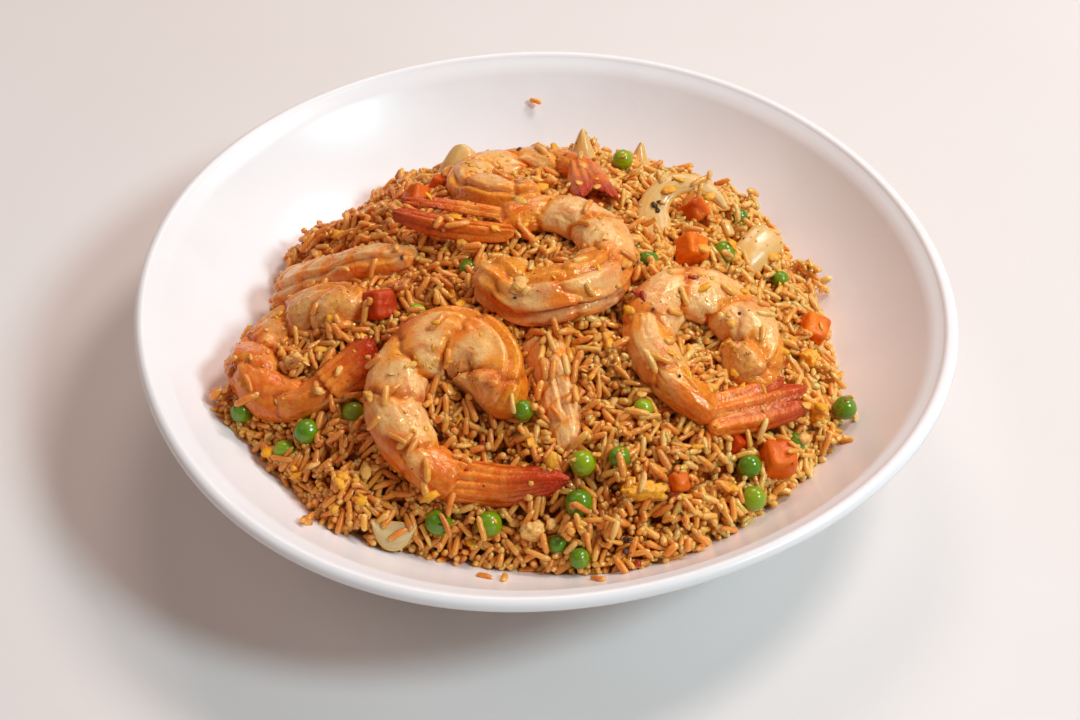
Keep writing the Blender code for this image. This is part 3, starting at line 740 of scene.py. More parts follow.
def petalShape(shape, petal, lift):
    # One petal of the tail: a cupped plate with a broad rib, nearly as wide to the end,
    # round at the tip, leaving the body at its own side of the fan
    side, length, wide, curl = petal
    along = np.linspace(0, 1, shrimpMake["petalRings"])
    turn = np.linspace(0, 2 * np.pi, shrimpMake["petalSides"], endpoint=False)
    x, y = spineAt(shape, np.array([1.0]))
    heading = headingAt(shape, np.array([1.0])) + shape["hand"] * math.radians(shape["flick"])
    forward, back, up = (v[0] for v in axesAt(x, y, heading, shape["hand"]))
    root = np.array((x[0], y[0], heapHeight(x, y)[0] + shape["lift"] * mm))
    thick = shape["thick"] * mm
    start = 0.3 * thick
    sideways = side * (0.20 * thick * (1 - along) + shape["open"] * mm * (along - curl * along ** 3))
    middle = root + forward * ((shape["tail"] * mm * length + start) * along - start)[:, None]
    middle = middle + back * sideways[:, None]
    ground = heapHeight(middle[:, 0], middle[:, 1]) + shape["lift"] * mm
    middle[1:, 2] = np.maximum(ground, middle[:, 2])[1:]
    middle = middle + up * (lift * mm)
    a, s = along[:, None], turn[None, :]
    wave = clouds(flat(a * 2, np.cos(s) / 3, np.sin(s) / 3 + side), 0.35, int(side * 10) + 40)
    fray = noise(flat(np.cos(s) * 2, side, 0 * a), 0.22, 77)
    width = 0.165 * thick * wide * (0.70 + 0.40 * np.sin(np.pi * np.minimum(a * 0.85, 1)) ** 0.8)
    width = width * np.sqrt(1 - 0.96 * a ** 8) * np.sqrt(np.clip(a / 0.05, 0.1, 1)) * (1 + 0.07 * wave)
    plate = 0.05 * thick * (1 - 0.5 * a) * np.sqrt(1 - 0.9 * a ** 8)
    beside = np.abs(np.cos(s))
    rib = 0.075 * thick * (1 - 0.5 * a) * (bell(np.cos(s), 0.34) + 0.25 * bell(beside - 0.7, 0.12))
    cup = -0.30 * width * np.cos(s) ** 2 * (0.5 + 0.5 * min(abs(side), 1))
    across = width * np.cos(s)
    high = plate * np.sin(s) + rib * np.where(np.sin(s) > 0, 1.0, -0.3) + cup + 0.16 * mm * wave
    lean = -0.5 * side
    offAcross = across * math.cos(lean) - high * math.sin(lean)
    offUp = across * math.sin(lean) + high * math.cos(lean)
    rows = middle[:, None, :] + back * offAcross[..., None] + up * offUp[..., None]
    rows = rows + forward * (1.4 * mm * wide * fray * smooth(0.7, 1.0, a))[..., None]
    tip = smooth(0.25, 0.95, a + 0.12 * wave) * min(0.55 + 0.5 * shape["red"], 1) + 0 * s
    rim = smooth(0.84, 1.0, beside + 0.05 * wave) * smooth(0.0, 0.5, a)
    valley = bell(beside - 0.52, 0.10) * smooth(0.02, 0.3, a + 0.05 * wave)
    marks = np.stack([spread(m, rows) for m in (tip, rim, valley, wave * 0.5 + 0.5)], -1)
    return closedTube(rows), marks


def tailFinish():
    # Thin glossy shell: salmon orange, dark red lines between the ribs, deep red at the tip
    material, tree, shader, place = newMaterial(
        "shrimpTailShell", Subsurface_Weight=0.15, Subsurface_Radius=(1.0, 0.3, 0.15),
        Subsurface_Scale=1.2 * mm, Specular_IOR_Level=0.8, Specular_Tint=(1.0, 0.62, 0.38, 1.0))
    tip, rim, valley = markParts(tree, "masks")[:3]
    tone = patches(tree, place, 190, 0.35, 0.65, 1.0)
    colour = mixColour(tree, tone, rgb(238, 112, 26), rgb(252, 150, 56))
    colour = mixColour(tree, tip, colour, rgb(190, 36, 6))
    colour = lay(tree, colour, valley, 0.75, (172, 40, 6))
    colour = lay(tree, colour, rim, 0.7, (160, 26, 4))
    dots = effect(tree, "specks", place, Scale=420, Size=0.16, Cover=0.18)
    colour = lay(tree, colour, dots, 0.6, (113, 29, 11))
    surface(tree, shader, place, colour, (300, 0.1, 0.3), (380, 1300, 0.3, 0.7, 0.9))
    return material


flesh, tailShell = fleshFinish(), tailFinish()
toppingShapes = []
shrimpRows = {}
for index, (name, shape) in enumerate(shrimps.items()):
    rows, marks = bodyShape(name, shape, 11 * index + 2)
    body = closedTube(rows)
    putPiece("shrimp_" + name + "_flesh", body, flesh, ["shrimp_" + name], {"masks": marks})
    toppingShapes.append(body)
    shrimpRows[name] = rows
    if shape["petals"]:
        tail, tailMarks = together([petalShape(shape, petal, 1.2 * (1 - min(abs(petal[0]), 1)))
                                    for petal in shape["petals"]])
        putPiece("shrimp_" + name + "_tail", tail, tailShell, (), {"masks": tailMarks})
        toppingShapes.append(tail)


peas = {"nodes": sorted(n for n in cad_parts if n.startswith("pea_")), "rings": 15, "sides": 24,
        "wrinkle": 0.035, "dent": 0.16}


def peaShape(name, seed):
    # A ball with a soft dent on one side and shallow wrinkles
    low, high = boxOf(name)
    radius = (high - low).min() / 2
    away = ball(peas["rings"], peas["sides"])
    side = unit(np.array((math.sin(2.1 * seed), math.cos(3.7 * seed), 0.7 * math.sin(1.3 * seed + 1))))
    dent = peas["dent"] * bell(1 - away @ side, 0.10) * (seed % 3 == 0)
    size = 1 + peas["wrinkle"] * clouds(away + seed, 0.9, seed) - dent
    rows = (low + high) / 2 + away * (radius * size)[..., None]
    return closedTube(rows), np.full(rows.shape[0] * rows.shape[1] + 2, (seed * 0.618) % 1)


def peaFinish():
    # Bright green skin, some yellower, with a paler bloom and a tight gloss
    material, tree, shader, place = newMaterial(
        "peaSkin", Specular_IOR_Level=0.4, Coat_Weight=0.5, Coat_Roughness=0.04, Subsurface_Weight=0.1,
        Subsurface_Radius=(0.7, 1.0, 0.1), Subsurface_Scale=1.2 * mm)
    shade = mapTo(tree, mark(tree, "shade")["Fac"], 0.35, 1.0)
    colour = mixColour(tree, shade, rgb(84, 130, 0), rgb(152, 174, 0))
    colour = lay(tree, colour, patches(tree, place, 260, 0.4, 0.7), 0.5, (126, 154, 0))
    colour = lay(tree, colour, patches(tree, place, 330, 0.60, 0.68, 1.0), 0.6, (161, 136, 14))
    surface(tree, shader, place, colour, (300, 0.2, 0.34), (500, 1600, 0.3, 0.15, 0.6))
    return material


shape, shades = together([peaShape(name, k) for k, name in enumerate(peas["nodes"])])
putPiece("peas", shape, peaFinish(), peas["nodes"], {"shade": shades})
toppingShapes.append(shape)


# How light the orange is: partly each dice's own tone and partly painted light and shade, lighter for
# dice on the lit right, darker on the shaded left
carrots = {  # side in mm, the turn about each axis in degrees, and how light the orange is
    "carrot_01": (10, 20, 30, 15, 0.85), "carrot_02": (9, 35, 10, 50, 0.75),
    "carrot_03": (10, 25, -20, 70, 1.0), "carrot_04": (11, 15, 10, 8, 0.6),
    "carrot_05": (10, 50, 20, 30, 0.0), "carrot_06": (9, 30, 40, 10, 0.5),
    "carrot_07": (6, 10, 25, 60, 0.5), "carrot_08": (7, 15, 30, 35, 0.1),
    "carrot_09": (6, 40, 10, 20, 0.6),
}
carrotMake = {"rings": 30, "sides": 40}


def carrotShape(name, seed):
    # A direction over its own 6th-power length is a dice with round edges; slightly uneven
    side, *turns, toneAndPaintedLight = carrots[name]
    away = ball(carrotMake["rings"], carrotMake["sides"])
    dice = away / (np.abs(away) ** 6).sum(-1, keepdims=True) ** (1 / 6)
    dice = dice * (0.5 * side * mm)
    narrow = np.where(dice[..., 2:] > 0, (0.92, 0.95, 1.0), (1.0, 1.0, 1.0))
    dice = dice * (1 - (1 - narrow) * smooth(-0.4, 0.6, dice[..., 2:] / (side * mm)))
    bumps = mm * (0.4 * clouds(dice, 5 * mm, seed) + 0.1 * noise(dice, mm, seed))
    dice = dice + unit(dice) * bumps[..., None]
    rows = fitTo(turned(dice.reshape(-1, 3), turns), name).reshape(dice.shape)
    return closedTube(rows), np.full(rows.shape[0] * rows.shape[1] + 2, toneAndPaintedLight)


def carrotFinish():
    # Orange flesh with darker cooked faces, fine fibres and a wet gloss; each dice lighter or darker by
    # its mark, partly its own tone and partly painted light and shade
    material, tree, shader, place = newMaterial(
        "carrotFlesh", Specular_IOR_Level=0.4, Specular_Tint=(1.0, 0.75, 0.5, 1.0),
        Subsurface_Weight=0.12, Subsurface_Radius=(1.0, 0.35, 0.1), Subsurface_Scale=1.2 * mm)
    # Painted light and shade: each dice's mark sets how light its orange is
    colour = mixColour(tree, mark(tree, "shade")["Fac"], rgb(196, 48, 0), rgb(252, 128, 14))
    colour = lay(tree, colour, patches(tree, place, 150, 0.42, 0.66, 0.8), 0.55, (206, 66, 2))
    colour = lay(tree, colour, patches(tree, place, 520, 0.55, 0.75), 0.4, (242, 120, 10))
    surface(tree, shader, place, colour, (260, 0.25, 0.5), (600, 1900, 0.6, 0.25, 0.7))
    return material


shape, shades = together([carrotShape(name, k) for k, name in enumerate(carrots)])
putPiece("carrot_dice", shape, carrotFinish(), list(carrots), {"shade": shades})
toppingShapes.append(shape)


onions = {  # ring radius, arc, width, thickness, share of the width at each end, turns
    "onion_arch": (36, 108, 14, 2.6, 1.0, 0.5, 19, 29, 153),
    "onion_slab": (40, 32, 16, 3.2, 0.8, 0.9, 14, 26, -35),
    "onion_petal_back": (30, 45, 20, 2.6, 1.0, 0.5, 48, 0, -25),
    "onion_tip_middle": (26, 40, 15, 2.6, 1.0, 0.15, 50, 0, 0),
    "onion_tip_right": (26, 36, 13, 2.6, 1.0, 0.15, 50, 0, -12),
    "onion_half_moon": (40, 21, 9.5, 0.9, 1.0, 1.0, -8, 42, -96),
    "onion_chip": (20, 20, 5, 2.4, 0.8, 0.8, 20, 20, 30),
}
onionMake = {"rings": 58, "archRings": 70, "sides": 56}


def onionShape(name, seed):
    # A flat section with round edges, carried along an arc, narrower towards its ends,
    # cupped across and ribbed lengthwise
    radius, arc, width, thick, near, far, *turns = onions[name]
    y = np.linspace(-1, 1, onionMake["rings"])[:, None]
    s = np.linspace(0, 2 * np.pi, onionMake["sides"], endpoint=False)[None, :]
    share = near + (far - near) * (y + 1) / 2
    moon = name == "onion_half_moon"
    narrow = share * np.maximum(1 - np.abs(y) ** (2 if moon else 11), 0.03) ** (0.55 if moon else 0.25)
    end = np.sqrt(np.maximum(1 - y ** 14, 0.03))
    across = np.sign(np.cos(s)) * np.abs(np.cos(s)) ** 0.55
    depth = np.sign(np.sin(s)) * np.abs(np.sin(s)) ** 0.8
    ribs = 0.10 * np.cos(across * width * 1.9 + 0.5 * np.sin(3 * y)) * (1 - across ** 2)
    wave = clouds(flat(across, y * arc / 40, depth * 0.3), 0.8, seed + 70)
    x = across * width * mm / 2 * narrow * (1 + 0.03 * wave) + moon * width * mm / 2 * (narrow - 1)
    cup = 0.12 * width * mm * across ** 2
    reach = radius * mm - cup + (thick * mm / 2 * depth) * end + mm * (ribs + 0.12 * wave)
    turn = np.radians(arc) / 2 * y
    rows = flat(x, reach * np.sin(turn), reach * np.cos(turn) - radius * mm)
    rows = fitTo(turned(rows.reshape(-1, 3), turns), name).reshape(rows.shape)
    which = np.full_like(y, 1.5 if moon else seed / 7)
    marks = np.stack([spread(m, rows) for m in (np.abs(across), which, ribs * 5 + 0.5, y + 1)], -1)
    return closedTube(rows), marks


arch = {  # lying towards the camera: middle, up and outward directions, lengths in mm
    "middle": (50.4, 21.0, 67.0), "up": (0.0, 0.88, 0.47), "out": (0.0, -0.47, 0.88),
    "start": 220, "end": 20, "reach": (11.6, 11.0, 12.4, 14.2, 15.0, 16.2),
    "half": (6.2, 6.2, 5.4, 4.3, 3.3, 1.5), "thick": 1.9, "dome": 1.0,
}


def archShape(seed):
    # Part of a flat ring, broad at its foot and narrow at its far end, domed across and
    # ribbed along its length
    y = np.linspace(-1, 1, onionMake["archRings"])[:, None]
    s = np.linspace(0, 2 * np.pi, onionMake["sides"], endpoint=False)[None, :]
    turn = np.radians(arch["start"] + (arch["end"] - arch["start"]) * (y + 1) / 2)
    at = np.linspace(-1, 1, 6)
    half = np.interp(y, at, arch["half"]) * np.maximum(1 - np.abs(y) ** 15, 0.03) ** (1 / 3)
    across = np.sign(np.cos(s)) * np.abs(np.cos(s)) ** 0.6
    depth = np.sign(np.sin(s)) * np.abs(np.sin(s)) ** 0.8
    ribs = 0.12 * np.cos(across * 16 + 0.5 * np.sin(3 * y)) * (1 - across ** 2)
    wave = clouds(flat(across, y * 3, depth * 0.3), 0.8, seed + 70)
    reach = np.interp(y, at, arch["reach"]) + across * half * (1 + 0.03 * wave)
    high = arch["thick"] / 2 * depth * (1 - 0.9 * y ** 14) + arch["dome"] * (1 - across ** 2)
    high = high + ribs + 0.15 * wave - 3.0 * smooth(0.3, 1.0, y)
    middle, up, out = (np.array(arch[key]) for key in ("middle", "up", "out"))
    rows = middle + flat(1, 0, 0) * (reach * np.cos(turn))[..., None]
    rows = mm * (rows + up * (reach * np.sin(turn))[..., None] + out * high[..., None])
    values = (np.abs(across), np.full_like(y, seed / 7), ribs * 5 + 0.5, y + 1)
    marks = np.stack([spread(m, rows) for m in values], -1)
    return closedTube(rows), marks


def onionFinish():
    # Soft cooked onion: cream, clearer and yellower at the cut edges, faint lengthwise lines
    material, tree, shader, place = newMaterial(
        "onionFlesh", Coat_Weight=0.2, Coat_Roughness=0.15, Subsurface_Weight=0.25,
        Subsurface_Radius=(1.0, 0.7, 0.35), Subsurface_Scale=2.0 * mm)
    edge, which, rib = markParts(tree, "masks")[:3]
    colour = mixColour(tree, which, rgb(236, 190, 116), rgb(233, 180, 92))
    colour = mixColour(tree, mapTo(tree, which, 1.0, 1.5), colour, rgb(206, 176, 122))
    colour = mixColour(tree, mapTo(tree, edge, 0.8, 1.0), colour, rgb(236, 180, 80))
    colour = mixColour(tree, mapTo(tree, rib, 0.5, 1.0, 0.0, 0.35), colour, rgb(246, 212, 146))
    colour = lay(tree, colour, patches(tree, place, 120, 0.52, 0.70, 0.6), 0.6, (236, 172, 70))
    dots = effect(tree, "specks", place, Scale=330, Size=0.14, Cover=0.12)
    colour = lay(tree, colour, dots, 0.7, (133, 81, 24))
    surface(tree, shader, place, colour, (200, 0.2, 0.4), (300, 1200, 0.3, 0.2, 0.6))
    return material


shape, masks = together([onionShape(name, k) if k else archShape(k) for k, name in enumerate(onions)])
putPiece("onion_pieces", shape, onionFinish(), list(onions), {"masks": masks})
toppingShapes.append(shape)


eggs = {  # turn about the upright axis; whether the curd is cream or yellow
    "egg_curd_front": (15, 0.1), "egg_curd_onion": (-30, 0.45), "egg_curd_top": (10, 0.2),
    "egg_strip": (-15, 0.9), "egg_curd_right": (60, 0.75), "egg_curd_edge": (20, 0.9),
}
curdMake = {"rings": 34, "sides": 48}


def curdShape(name, seed):
    # A ball stretched to the node's box and broken up by noise at three sizes
    low, high = boxOf(name)
    away = ball(curdMake["rings"], curdMake["sides"])
    size = (high - low) / 2
    away = np.sign(away) * np.abs(away) ** (0.8 if name == "egg_strip" else 1.0)
    spot = away * size / size.mean()
    crumb = 0.24 * clouds(spot, 0.75, seed + 90, 4) - 0.22 * np.abs(noise(spot, 0.34, seed + 95))
    rows = (low + high) / 2 + away * size * np.clip(0.94 + crumb, 0.3, 1.1)[..., None]
    shade = spread(np.full((curdMake["rings"], 1), eggs[name][1]) + 0.25 * noise(away, 0.5, seed), rows)
    return closedTube(rows), shade


def eggFinish():
    # Scrambled egg from cream to deep yellow, browned a little where it touched the pan
    material, tree, shader, place = newMaterial(
        "scrambledEgg", Subsurface_Weight=0.15, Subsurface_Radius=(1.0, 0.6, 0.2),
        Subsurface_Scale=1.2 * mm, Specular_IOR_Level=0.6)
    shade = mapTo(tree, mark(tree, "shade")["Fac"], 0.0, 1.0)
    colour = mixColour(tree, shade, rgb(246, 190, 104), rgb(255, 174, 2))
    colour = lay(tree, colour, patches(tree, place, 420, 0.45, 0.68, 0.6), 0.45, (226, 136, 16))
    surface(tree, shader, place, colour, (320, 0.28, 0.55), (700, 1900, 0.5, 0.4, 0.9))
    return material


egg = eggFinish()
shape, shades = together([curdShape(name, k) for k, name in enumerate(eggs)])
putPiece("egg_curds", shape, egg, list(eggs), {"shade": shades})
toppingShapes.append(shape)
print("toppings made:", len(toppingShapes))


rice = {
    "cell": 0.6 * mm, "half": 128 * mm, "seed": 7, "most": 12900, "every": 200,
    "length": (5.4, 8.8), "width": (1.95, 2.65), "broken": 0.3, "sides": 6, "tooLow": 0.4 * mm,
    "leaning": 80, "besidePea": 4.2 * mm, "riderWidth": (2.3, 2.8),
    # grains lying beyond the heap's foot: place and spread in mm, how many
    "strays": ((99, 27, 5, 16), (-77, -99, 3, 3), (-112, -44, 4, 7), (-104, -8, 4, 5),
               (98, -58, 5, 9), (20, -121, 6, 2), (-12, -119, 7, 3)),
}


def grainTemplate():
    # Five rings along a blunt rod, radius (1 - |t|^6)^0.5, with a pole at each end
    t = np.array((-0.97, -0.74, 0.0, 0.74, 0.97))[:, None]
    s = np.linspace(0, 2 * np.pi, rice["sides"], endpoint=False)[None, :]
    size = (1 - np.abs(t) ** 6) ** 0.5
    rows = flat(t, size * np.cos(s), size * np.sin(s))
    points, quads, tris = closedTube(rows)
    points[-2:, 0] = (-1, 1)
    return points, quads, tris


def bvhOf(shapes):
    points, quads, tris = join(shapes)
    faces = quads.tolist() + tris.tolist()
    return BVHTree.FromPolygons(points.tolist(), faces)


def riceMaps():
    # Over a square grid: the height of the core, the height the grains should reach, the
    # height of what lies on the rice, where a topping covers it, and the height that no
    # grain poked in may pass, kept low beside the toppings
    steps = np.arange(-rice["half"], rice["half"], rice["cell"])
    x, y = np.meshgrid(steps, steps, indexing="ij")
    share = heapShare(x, y)
    floor = np.maximum(coreTop(x, y), bowlInside(x, y))
    floor = np.where(share < 1.0, floor, bowlInside(x, y))
    edge = 0.995 + 0.03 * noise(flat(x, y), 6 * mm, 12)
    target = np.where(share < edge, riceTop(x, y), -1.0)
    tops = floor.copy()
    covered = np.zeros(x.shape, bool)
    tree = bvhOf(toppingShapes)
    down, up = Vector((0, 0, -1)), Vector((0, 0, 1))
    for i, j in zip(*np.nonzero(share < 1.04)):
        hit = tree.ray_cast(Vector((x[i, j], y[i, j], 0.2)), down)[0]
        if hit is None:
            continue
        tops[i, j] = max(hit.z, tops[i, j])
        if hit.z < target[i, j]:
            continue
        under = tree.ray_cast(Vector((x[i, j], y[i, j], target[i, j] - 9 * mm)), up)[0]
        if under is not None and under.z > target[i, j] - 0.5 * mm:
            target[i, j] = min(target[i, j], under.z - 0.8 * mm)
        else:
            covered[i, j] = True
    ceiling = target + 2.6 * mm
    seen = np.where(tops > floor + 1 * mm, tops, 1.0)
    lowest = seen.copy()
    for step in range(5):
        for axis in (0, 1):
            lowest = np.minimum(lowest, np.minimum(np.roll(lowest, 1, axis), np.roll(lowest, -1, axis)))
    nearby = (lowest < 1.0) & ~covered
    under = np.maximum(lowest - 1.2 * mm, target - 0.5 * mm)
    ceiling = np.where(nearby, np.minimum(ceiling, under), ceiling)
    return x, y, floor, target, tops, covered, ceiling


def restingLine(heights, t):
    # The lowest straight line over all the heights that is held up on both sides of the
    # middle: its height at the middle and its slope
    left, right = np.nonzero(t <= 0)[0], np.nonzero(t > 0)[0]
    a, b = np.meshgrid(left, right, indexing="ij")
    middle = (heights[a] * t[b] - heights[b] * t[a]) / (t[b] - t[a])
    best = np.argmax(middle)
    slope = ((heights[b] - heights[a]) / (t[b] - t[a])).flat[best]
    slope = np.clip(slope, -0.9, 0.9)
    return (heights - slope * t).max(), slope


def oneGrain(random):
    # Length, width and direction of one grain, some of them broken
    length = random.uniform(*rice["length"]) * mm
    if random.random() < rice["broken"]:
        length *= random.uniform(0.35, 0.6)
    return length, random.uniform(*rice["width"]) * mm, random.uniform(0, np.pi)


def cellAt(x, y):
    # Row and column of the grid cell at a place
    return (int(round((v + rice["half"]) / rice["cell"])) for v in (x, y))


def grown(mask, cells):
    # A mask spread by some cells along both axes
    wide = mask.copy()
    for shift in (-cells, cells):
        wide |= np.roll(mask, shift, 0) | np.roll(mask, shift, 1)
    return wide


def layGrain(maps, level, i, j, grain, jumble):
    # One grain at rest on the height map along its own length, or poked in at a steep
    # angle; raises the map under it and returns its place, direction and size
    x, y = maps[:2]
    length, width, yaw = grain
    last = x.shape[0] - 1
    t = np.array((-0.85, -0.45, 0.0, 0.45, 0.85)) * length / 2
    cosYaw, sinYaw = math.cos(yaw), math.sin(yaw)
    di = np.clip(np.rint(i + t * cosYaw / rice["cell"]).astype(int), 0, last)
    dj = np.clip(np.rint(j + t * sinYaw / rice["cell"]).astype(int), 0, last)
    middle, slope = restingLine(level[di, dj], t)
    if jumble:
        slope = jumble
        middle = level[i, j] + 0.05 * width
    flatten = 1 / math.hypot(1, slope)
    centre = min(middle + 0.17 * width / flatten, cadHigh[2] - 0.6 * width - 0.4 * length * abs(slope))
    if jumble:
        centre = min(centre, maps[6][i, j] - 0.42 * length * abs(slope) * flatten)
    cells = int(5.4 * mm / rice["cell"])
    i0, i1 = max(i - cells, 0), min(i + cells + 1, last + 1)
    j0, j1 = max(j - cells, 0), min(j + cells + 1, last + 1)
    dx = x[i0:i1, j0:j1] - x[i, j]
    dy = y[i0:i1, j0:j1] - y[i, j]
    along = dx * cosYaw + dy * sinYaw
    aside = (dy * cosYaw - dx * sinYaw) / (width / 2)
    inside = (np.abs(along) < length / 2 * flatten) & (np.abs(aside) < 1)
    raised = centre + slope * along + 0.37 * width * np.sqrt(np.maximum(1 - aside ** 2, 0))
    patch = level[i0:i1, j0:j1]
    patch[inside] = np.maximum(patch, raised)[inside]
    return x[i, j], y[i, j], centre, yaw, slope, length, width


def pourRice(maps, random):
    # Drops grains one at a time on places that are still too low; then strays beyond the
    # foot, grains leaning on the edges of the toppings, and a few lying on top of them
    x, y, floor, target, tops, covered = maps[:6]
    level = floor.copy()
    grains = []
    # Neighbouring grains tend to lie the same way, and poke out in the same patches
    lie = np.pi * clouds(flat(x, y), 13 * mm, 61, 2)
    poke = 0.25 + 0.5 * smooth(-0.3, 0.5, noise(flat(x, y), 10 * mm, 67))
    while len(grains) < rice["most"]:
        low = np.flatnonzero((target - level > rice["tooLow"]) & ~covered)
        if len(low) < 40:
            break
        for pick in random.choice(low, min(rice["every"], len(low)), replace=False):
            i, j = divmod(int(pick), x.shape[1])
            if target[i, j] - level[i, j] < rice["tooLow"]:
                continue
            jumble = 0
            if random.random() < poke[i, j]:
                jumble = math.tan(random.uniform(0.3, 1.4))
            length, width, yaw = oneGrain(random)
            yaw = lie[i, j] + random.normal(0, 0.7)
            if jumble and random.random() < 0.6:
                yaw = random.normal(-np.pi / 2, 0.7)
            grains.append(layGrain(maps, level, i, j, (length, width, yaw), jumble))
    print("heap grains:", len(grains))
    level[:] = np.maximum(level, tops)
    for px, py, width, count in rice["strays"]:
        for dx, dy in random.normal(0, width / 1.6, (count, 2)):
            i, j = cellAt((px + dx) * mm, (py + dy) * mm)
            grains.append(layGrain(maps, level, i, j, oneGrain(random), 0))
    edge = np.flatnonzero(grown(covered, 5) & ~grown(covered, 3) & (target > 0))
    for pick in random.choice(edge, rice["leaning"], replace=False):
        i, j = divmod(int(pick), x.shape[1])
        grains.append(layGrain(maps, level, i, j, oneGrain(random), 0))
    for name in peas["nodes"]:
        low, high = boxOf(name)
        for around in random.uniform(0, 2 * np.pi, random.integers(0, 4)):
            away = np.array((math.cos(around), math.sin(around)))
            i, j = cellAt(*((low + high)[:2] / 2 + rice["besidePea"] * away))
            length, width, yaw = oneGrain(random)
            yaw = around + random.normal(1.3, 0.5)
            grains.append(layGrain(maps, level, i, j, (length, width, yaw), 0))
    for px, py, degrees, length in riders:
        i, j = cellAt(px * mm, py * mm)
        grain = (length * mm, random.uniform(*rice["riderWidth"]) * mm, math.radians(degrees))
        grains.append(layGrain(maps, level, i, j, grain, 0))
    return np.array(grains), level


# Grains lying on the toppings: place in mm, direction in degrees, length in mm
riders = (
    (-34.3, -47.1, 55, 9), (-37.4, -92, 95, 8), (-27, -84, 20, 6), (34.8, -58.9, -50, 9),
    (-30, 2.0, 10, 9), (-36.5, 3.5, 60, 5), (-33.5, 4.6, 130, 5), (-6, 2.0, -35, 9),
    (52.7, 29.4, 30, 8), (55.9, 33.3, 35, 8), (71.6, -69, 60, 8), (-31.3, -58.6, 75, 7),
    (-83, -44, 150, 6), (-76, -56, 100, 5), (-68, -33, 20, 6), (-70, -36, 130, 6),
    (-78, -26, 60, 5), (-60, -4, 70, 8), (-52, 2, 95, 7), (-13, 42, 20, 7), (2, 40, 150, 6),
    (12, -22, 30, 6), (2, -50, 70, 7), (7, -56, 100, 8), (9, -66, 60, 8), (4, -72, 120, 7),
    (41, -50, 40, 5), (62, -24, 160, 6), (73, -40, 80, 6), (66, -77, 10, 7), (3, -58, 80, 8),
    (-50, -99, 60, 8), (-44, -100, 110, 7), (-47, -104, 20, 7), (-1, -52, 80, 8), (0, -58, 100, 8),
    (-2, -64, 70, 7), (1, -46, 60, 8), (4, -44, 120, 8), (8, -50, 100, 7), (10, -58, 80, 8),
    (10, -66, 95, 7), (-3, -70, 85, 8), (7, -44, 35, 7), (-2, -44, 150, 7), (2, -49, 110, 8),
)


def grainShapes(grains, random):
    # Joined grains: each bent a little, tapered at one end, lying along its own direction;
    # each has its own tone, a painted highlight at its ends, and a painted shade, darker to the front
    # left and in patches, with a random share of its own
    points, quads, tris = grainTemplate()
    count = len(grains)
    x, y, z, yaw, slope, length, width = grains.T
    forward = unit(flat(np.cos(yaw), np.sin(yaw), slope))
    side = unit(np.cross(np.array((0, 0, 1.0)), forward))
    up = np.cross(forward, side)
    roll = random.uniform(0, 2 * np.pi, count)[:, None]
    bendUp = side * np.cos(roll) + up * np.sin(roll)
    bendSide = np.cross(bendUp, forward)
    axes = np.stack((forward * (length / 2)[:, None], bendSide * (width / 2)[:, None],
                     bendUp * (width / 2 * random.uniform(0.82, 1.0, count))[:, None]), -1)
    bend = random.uniform(-0.55, 0.55, count)[:, None]
    taper = random.uniform(-0.2, 0.2, count)[:, None]
    local = np.repeat(points[None], count, axis=0)
    waist = np.repeat(random.uniform(0.88, 1.1, (count, 5)), rice["sides"], axis=1)
    local[:, :-2, 1:] *= waist[..., None]
    local[..., 1:] *= (1 - taper * local[..., 0])[..., None]
    local[..., 2] += bend * local[..., 0] ** 2
    moved = np.einsum("nij,nkj->nki", axes, local) + flat(x, y, z)[:, None, :]
    own = random.uniform(0, 1, count)
    pink = 0.5 + 0.5 * noise(flat(x, y, z), 16 * mm, 41) + random.normal(0, 0.18, count)
    pink = smooth(0.3, 1.0, pink)
    # Painted highlight at the two ends of each grain
    endHighlight = np.concatenate((np.repeat((1.0, 0.4, 0.0, 0.4, 1.0), rice["sides"]), (1.0, 1.0)))
    # Painted shade: darker to the front left and in patches, plus a random share for each grain
    toneAndPaintedShade = 0.2 * smooth(0.05, -0.09, x + 0.35 * y) + 0.2 * noise(flat(x, y, z), 14 * mm, 43)
    toneAndPaintedShade = np.clip(toneAndPaintedShade + random.normal(0.0, 0.2, count), 0, 1)
    marks = np.stack((np.repeat(own, len(points)), np.repeat(pink, len(points)),
                      np.tile(endHighlight, count), np.repeat(toneAndPaintedShade, len(points))), -1)
    return repeated(moved, quads, tris), marks


def riceFinish(name, colours):
    # Sauced rice: every grain has its own tone, clumps take more sauce, the ends carry a painted
    # highlight, thin brown films of sauce lie over some of them, and a painted shade darkens grains to
    # the front left and in patches
    material, tree, shader, place = newMaterial(
        name, Subsurface_Weight=0.75, Subsurface_Radius=(1.0, 0.55, 0.2), Subsurface_Scale=2.6 * mm,
        Specular_IOR_Level=0.9, Specular_Tint=(1.0, 0.8, 0.54, 1.0))
    first, second, pinker, sauce, brown = colours
    own, pink, endHighlight, toneAndPaintedShade = markParts(tree, "tone")
    colour = mixColour(tree, own, rgb(*first), rgb(*second))
    colour = lay(tree, colour, pink, 0.3, pinker)
    colour = lay(tree, colour, patches(tree, place, 60, 0.46, 0.64), 0.22, sauce)
    colour = lay(tree, colour, patches(tree, place, 300, 0.5, 0.72, 0.3), 0.26, brown)
    # Painted highlight: pale cream laid on the grain ends
    colour = lay(tree, colour, endHighlight, 0.3, (254, 224, 150))
    # Painted shade, multiplied into the grain colour
    colour = mixColour(tree, toneAndPaintedShade, colour, rgb(212, 184, 152), "MULTIPLY")
    surface(tree, shader, place, colour, (240, 0.13, 0.34), (600, 1500, 0.35, 0.42, 0.8))
    return material


random = np.random.default_rng(rice["seed"])
maps = riceMaps()
print("rice maps ready; covered share", round(float(maps[5].mean()), 3))
grains, level = pourRice(maps, random)
print("grains poured:", len(grains))
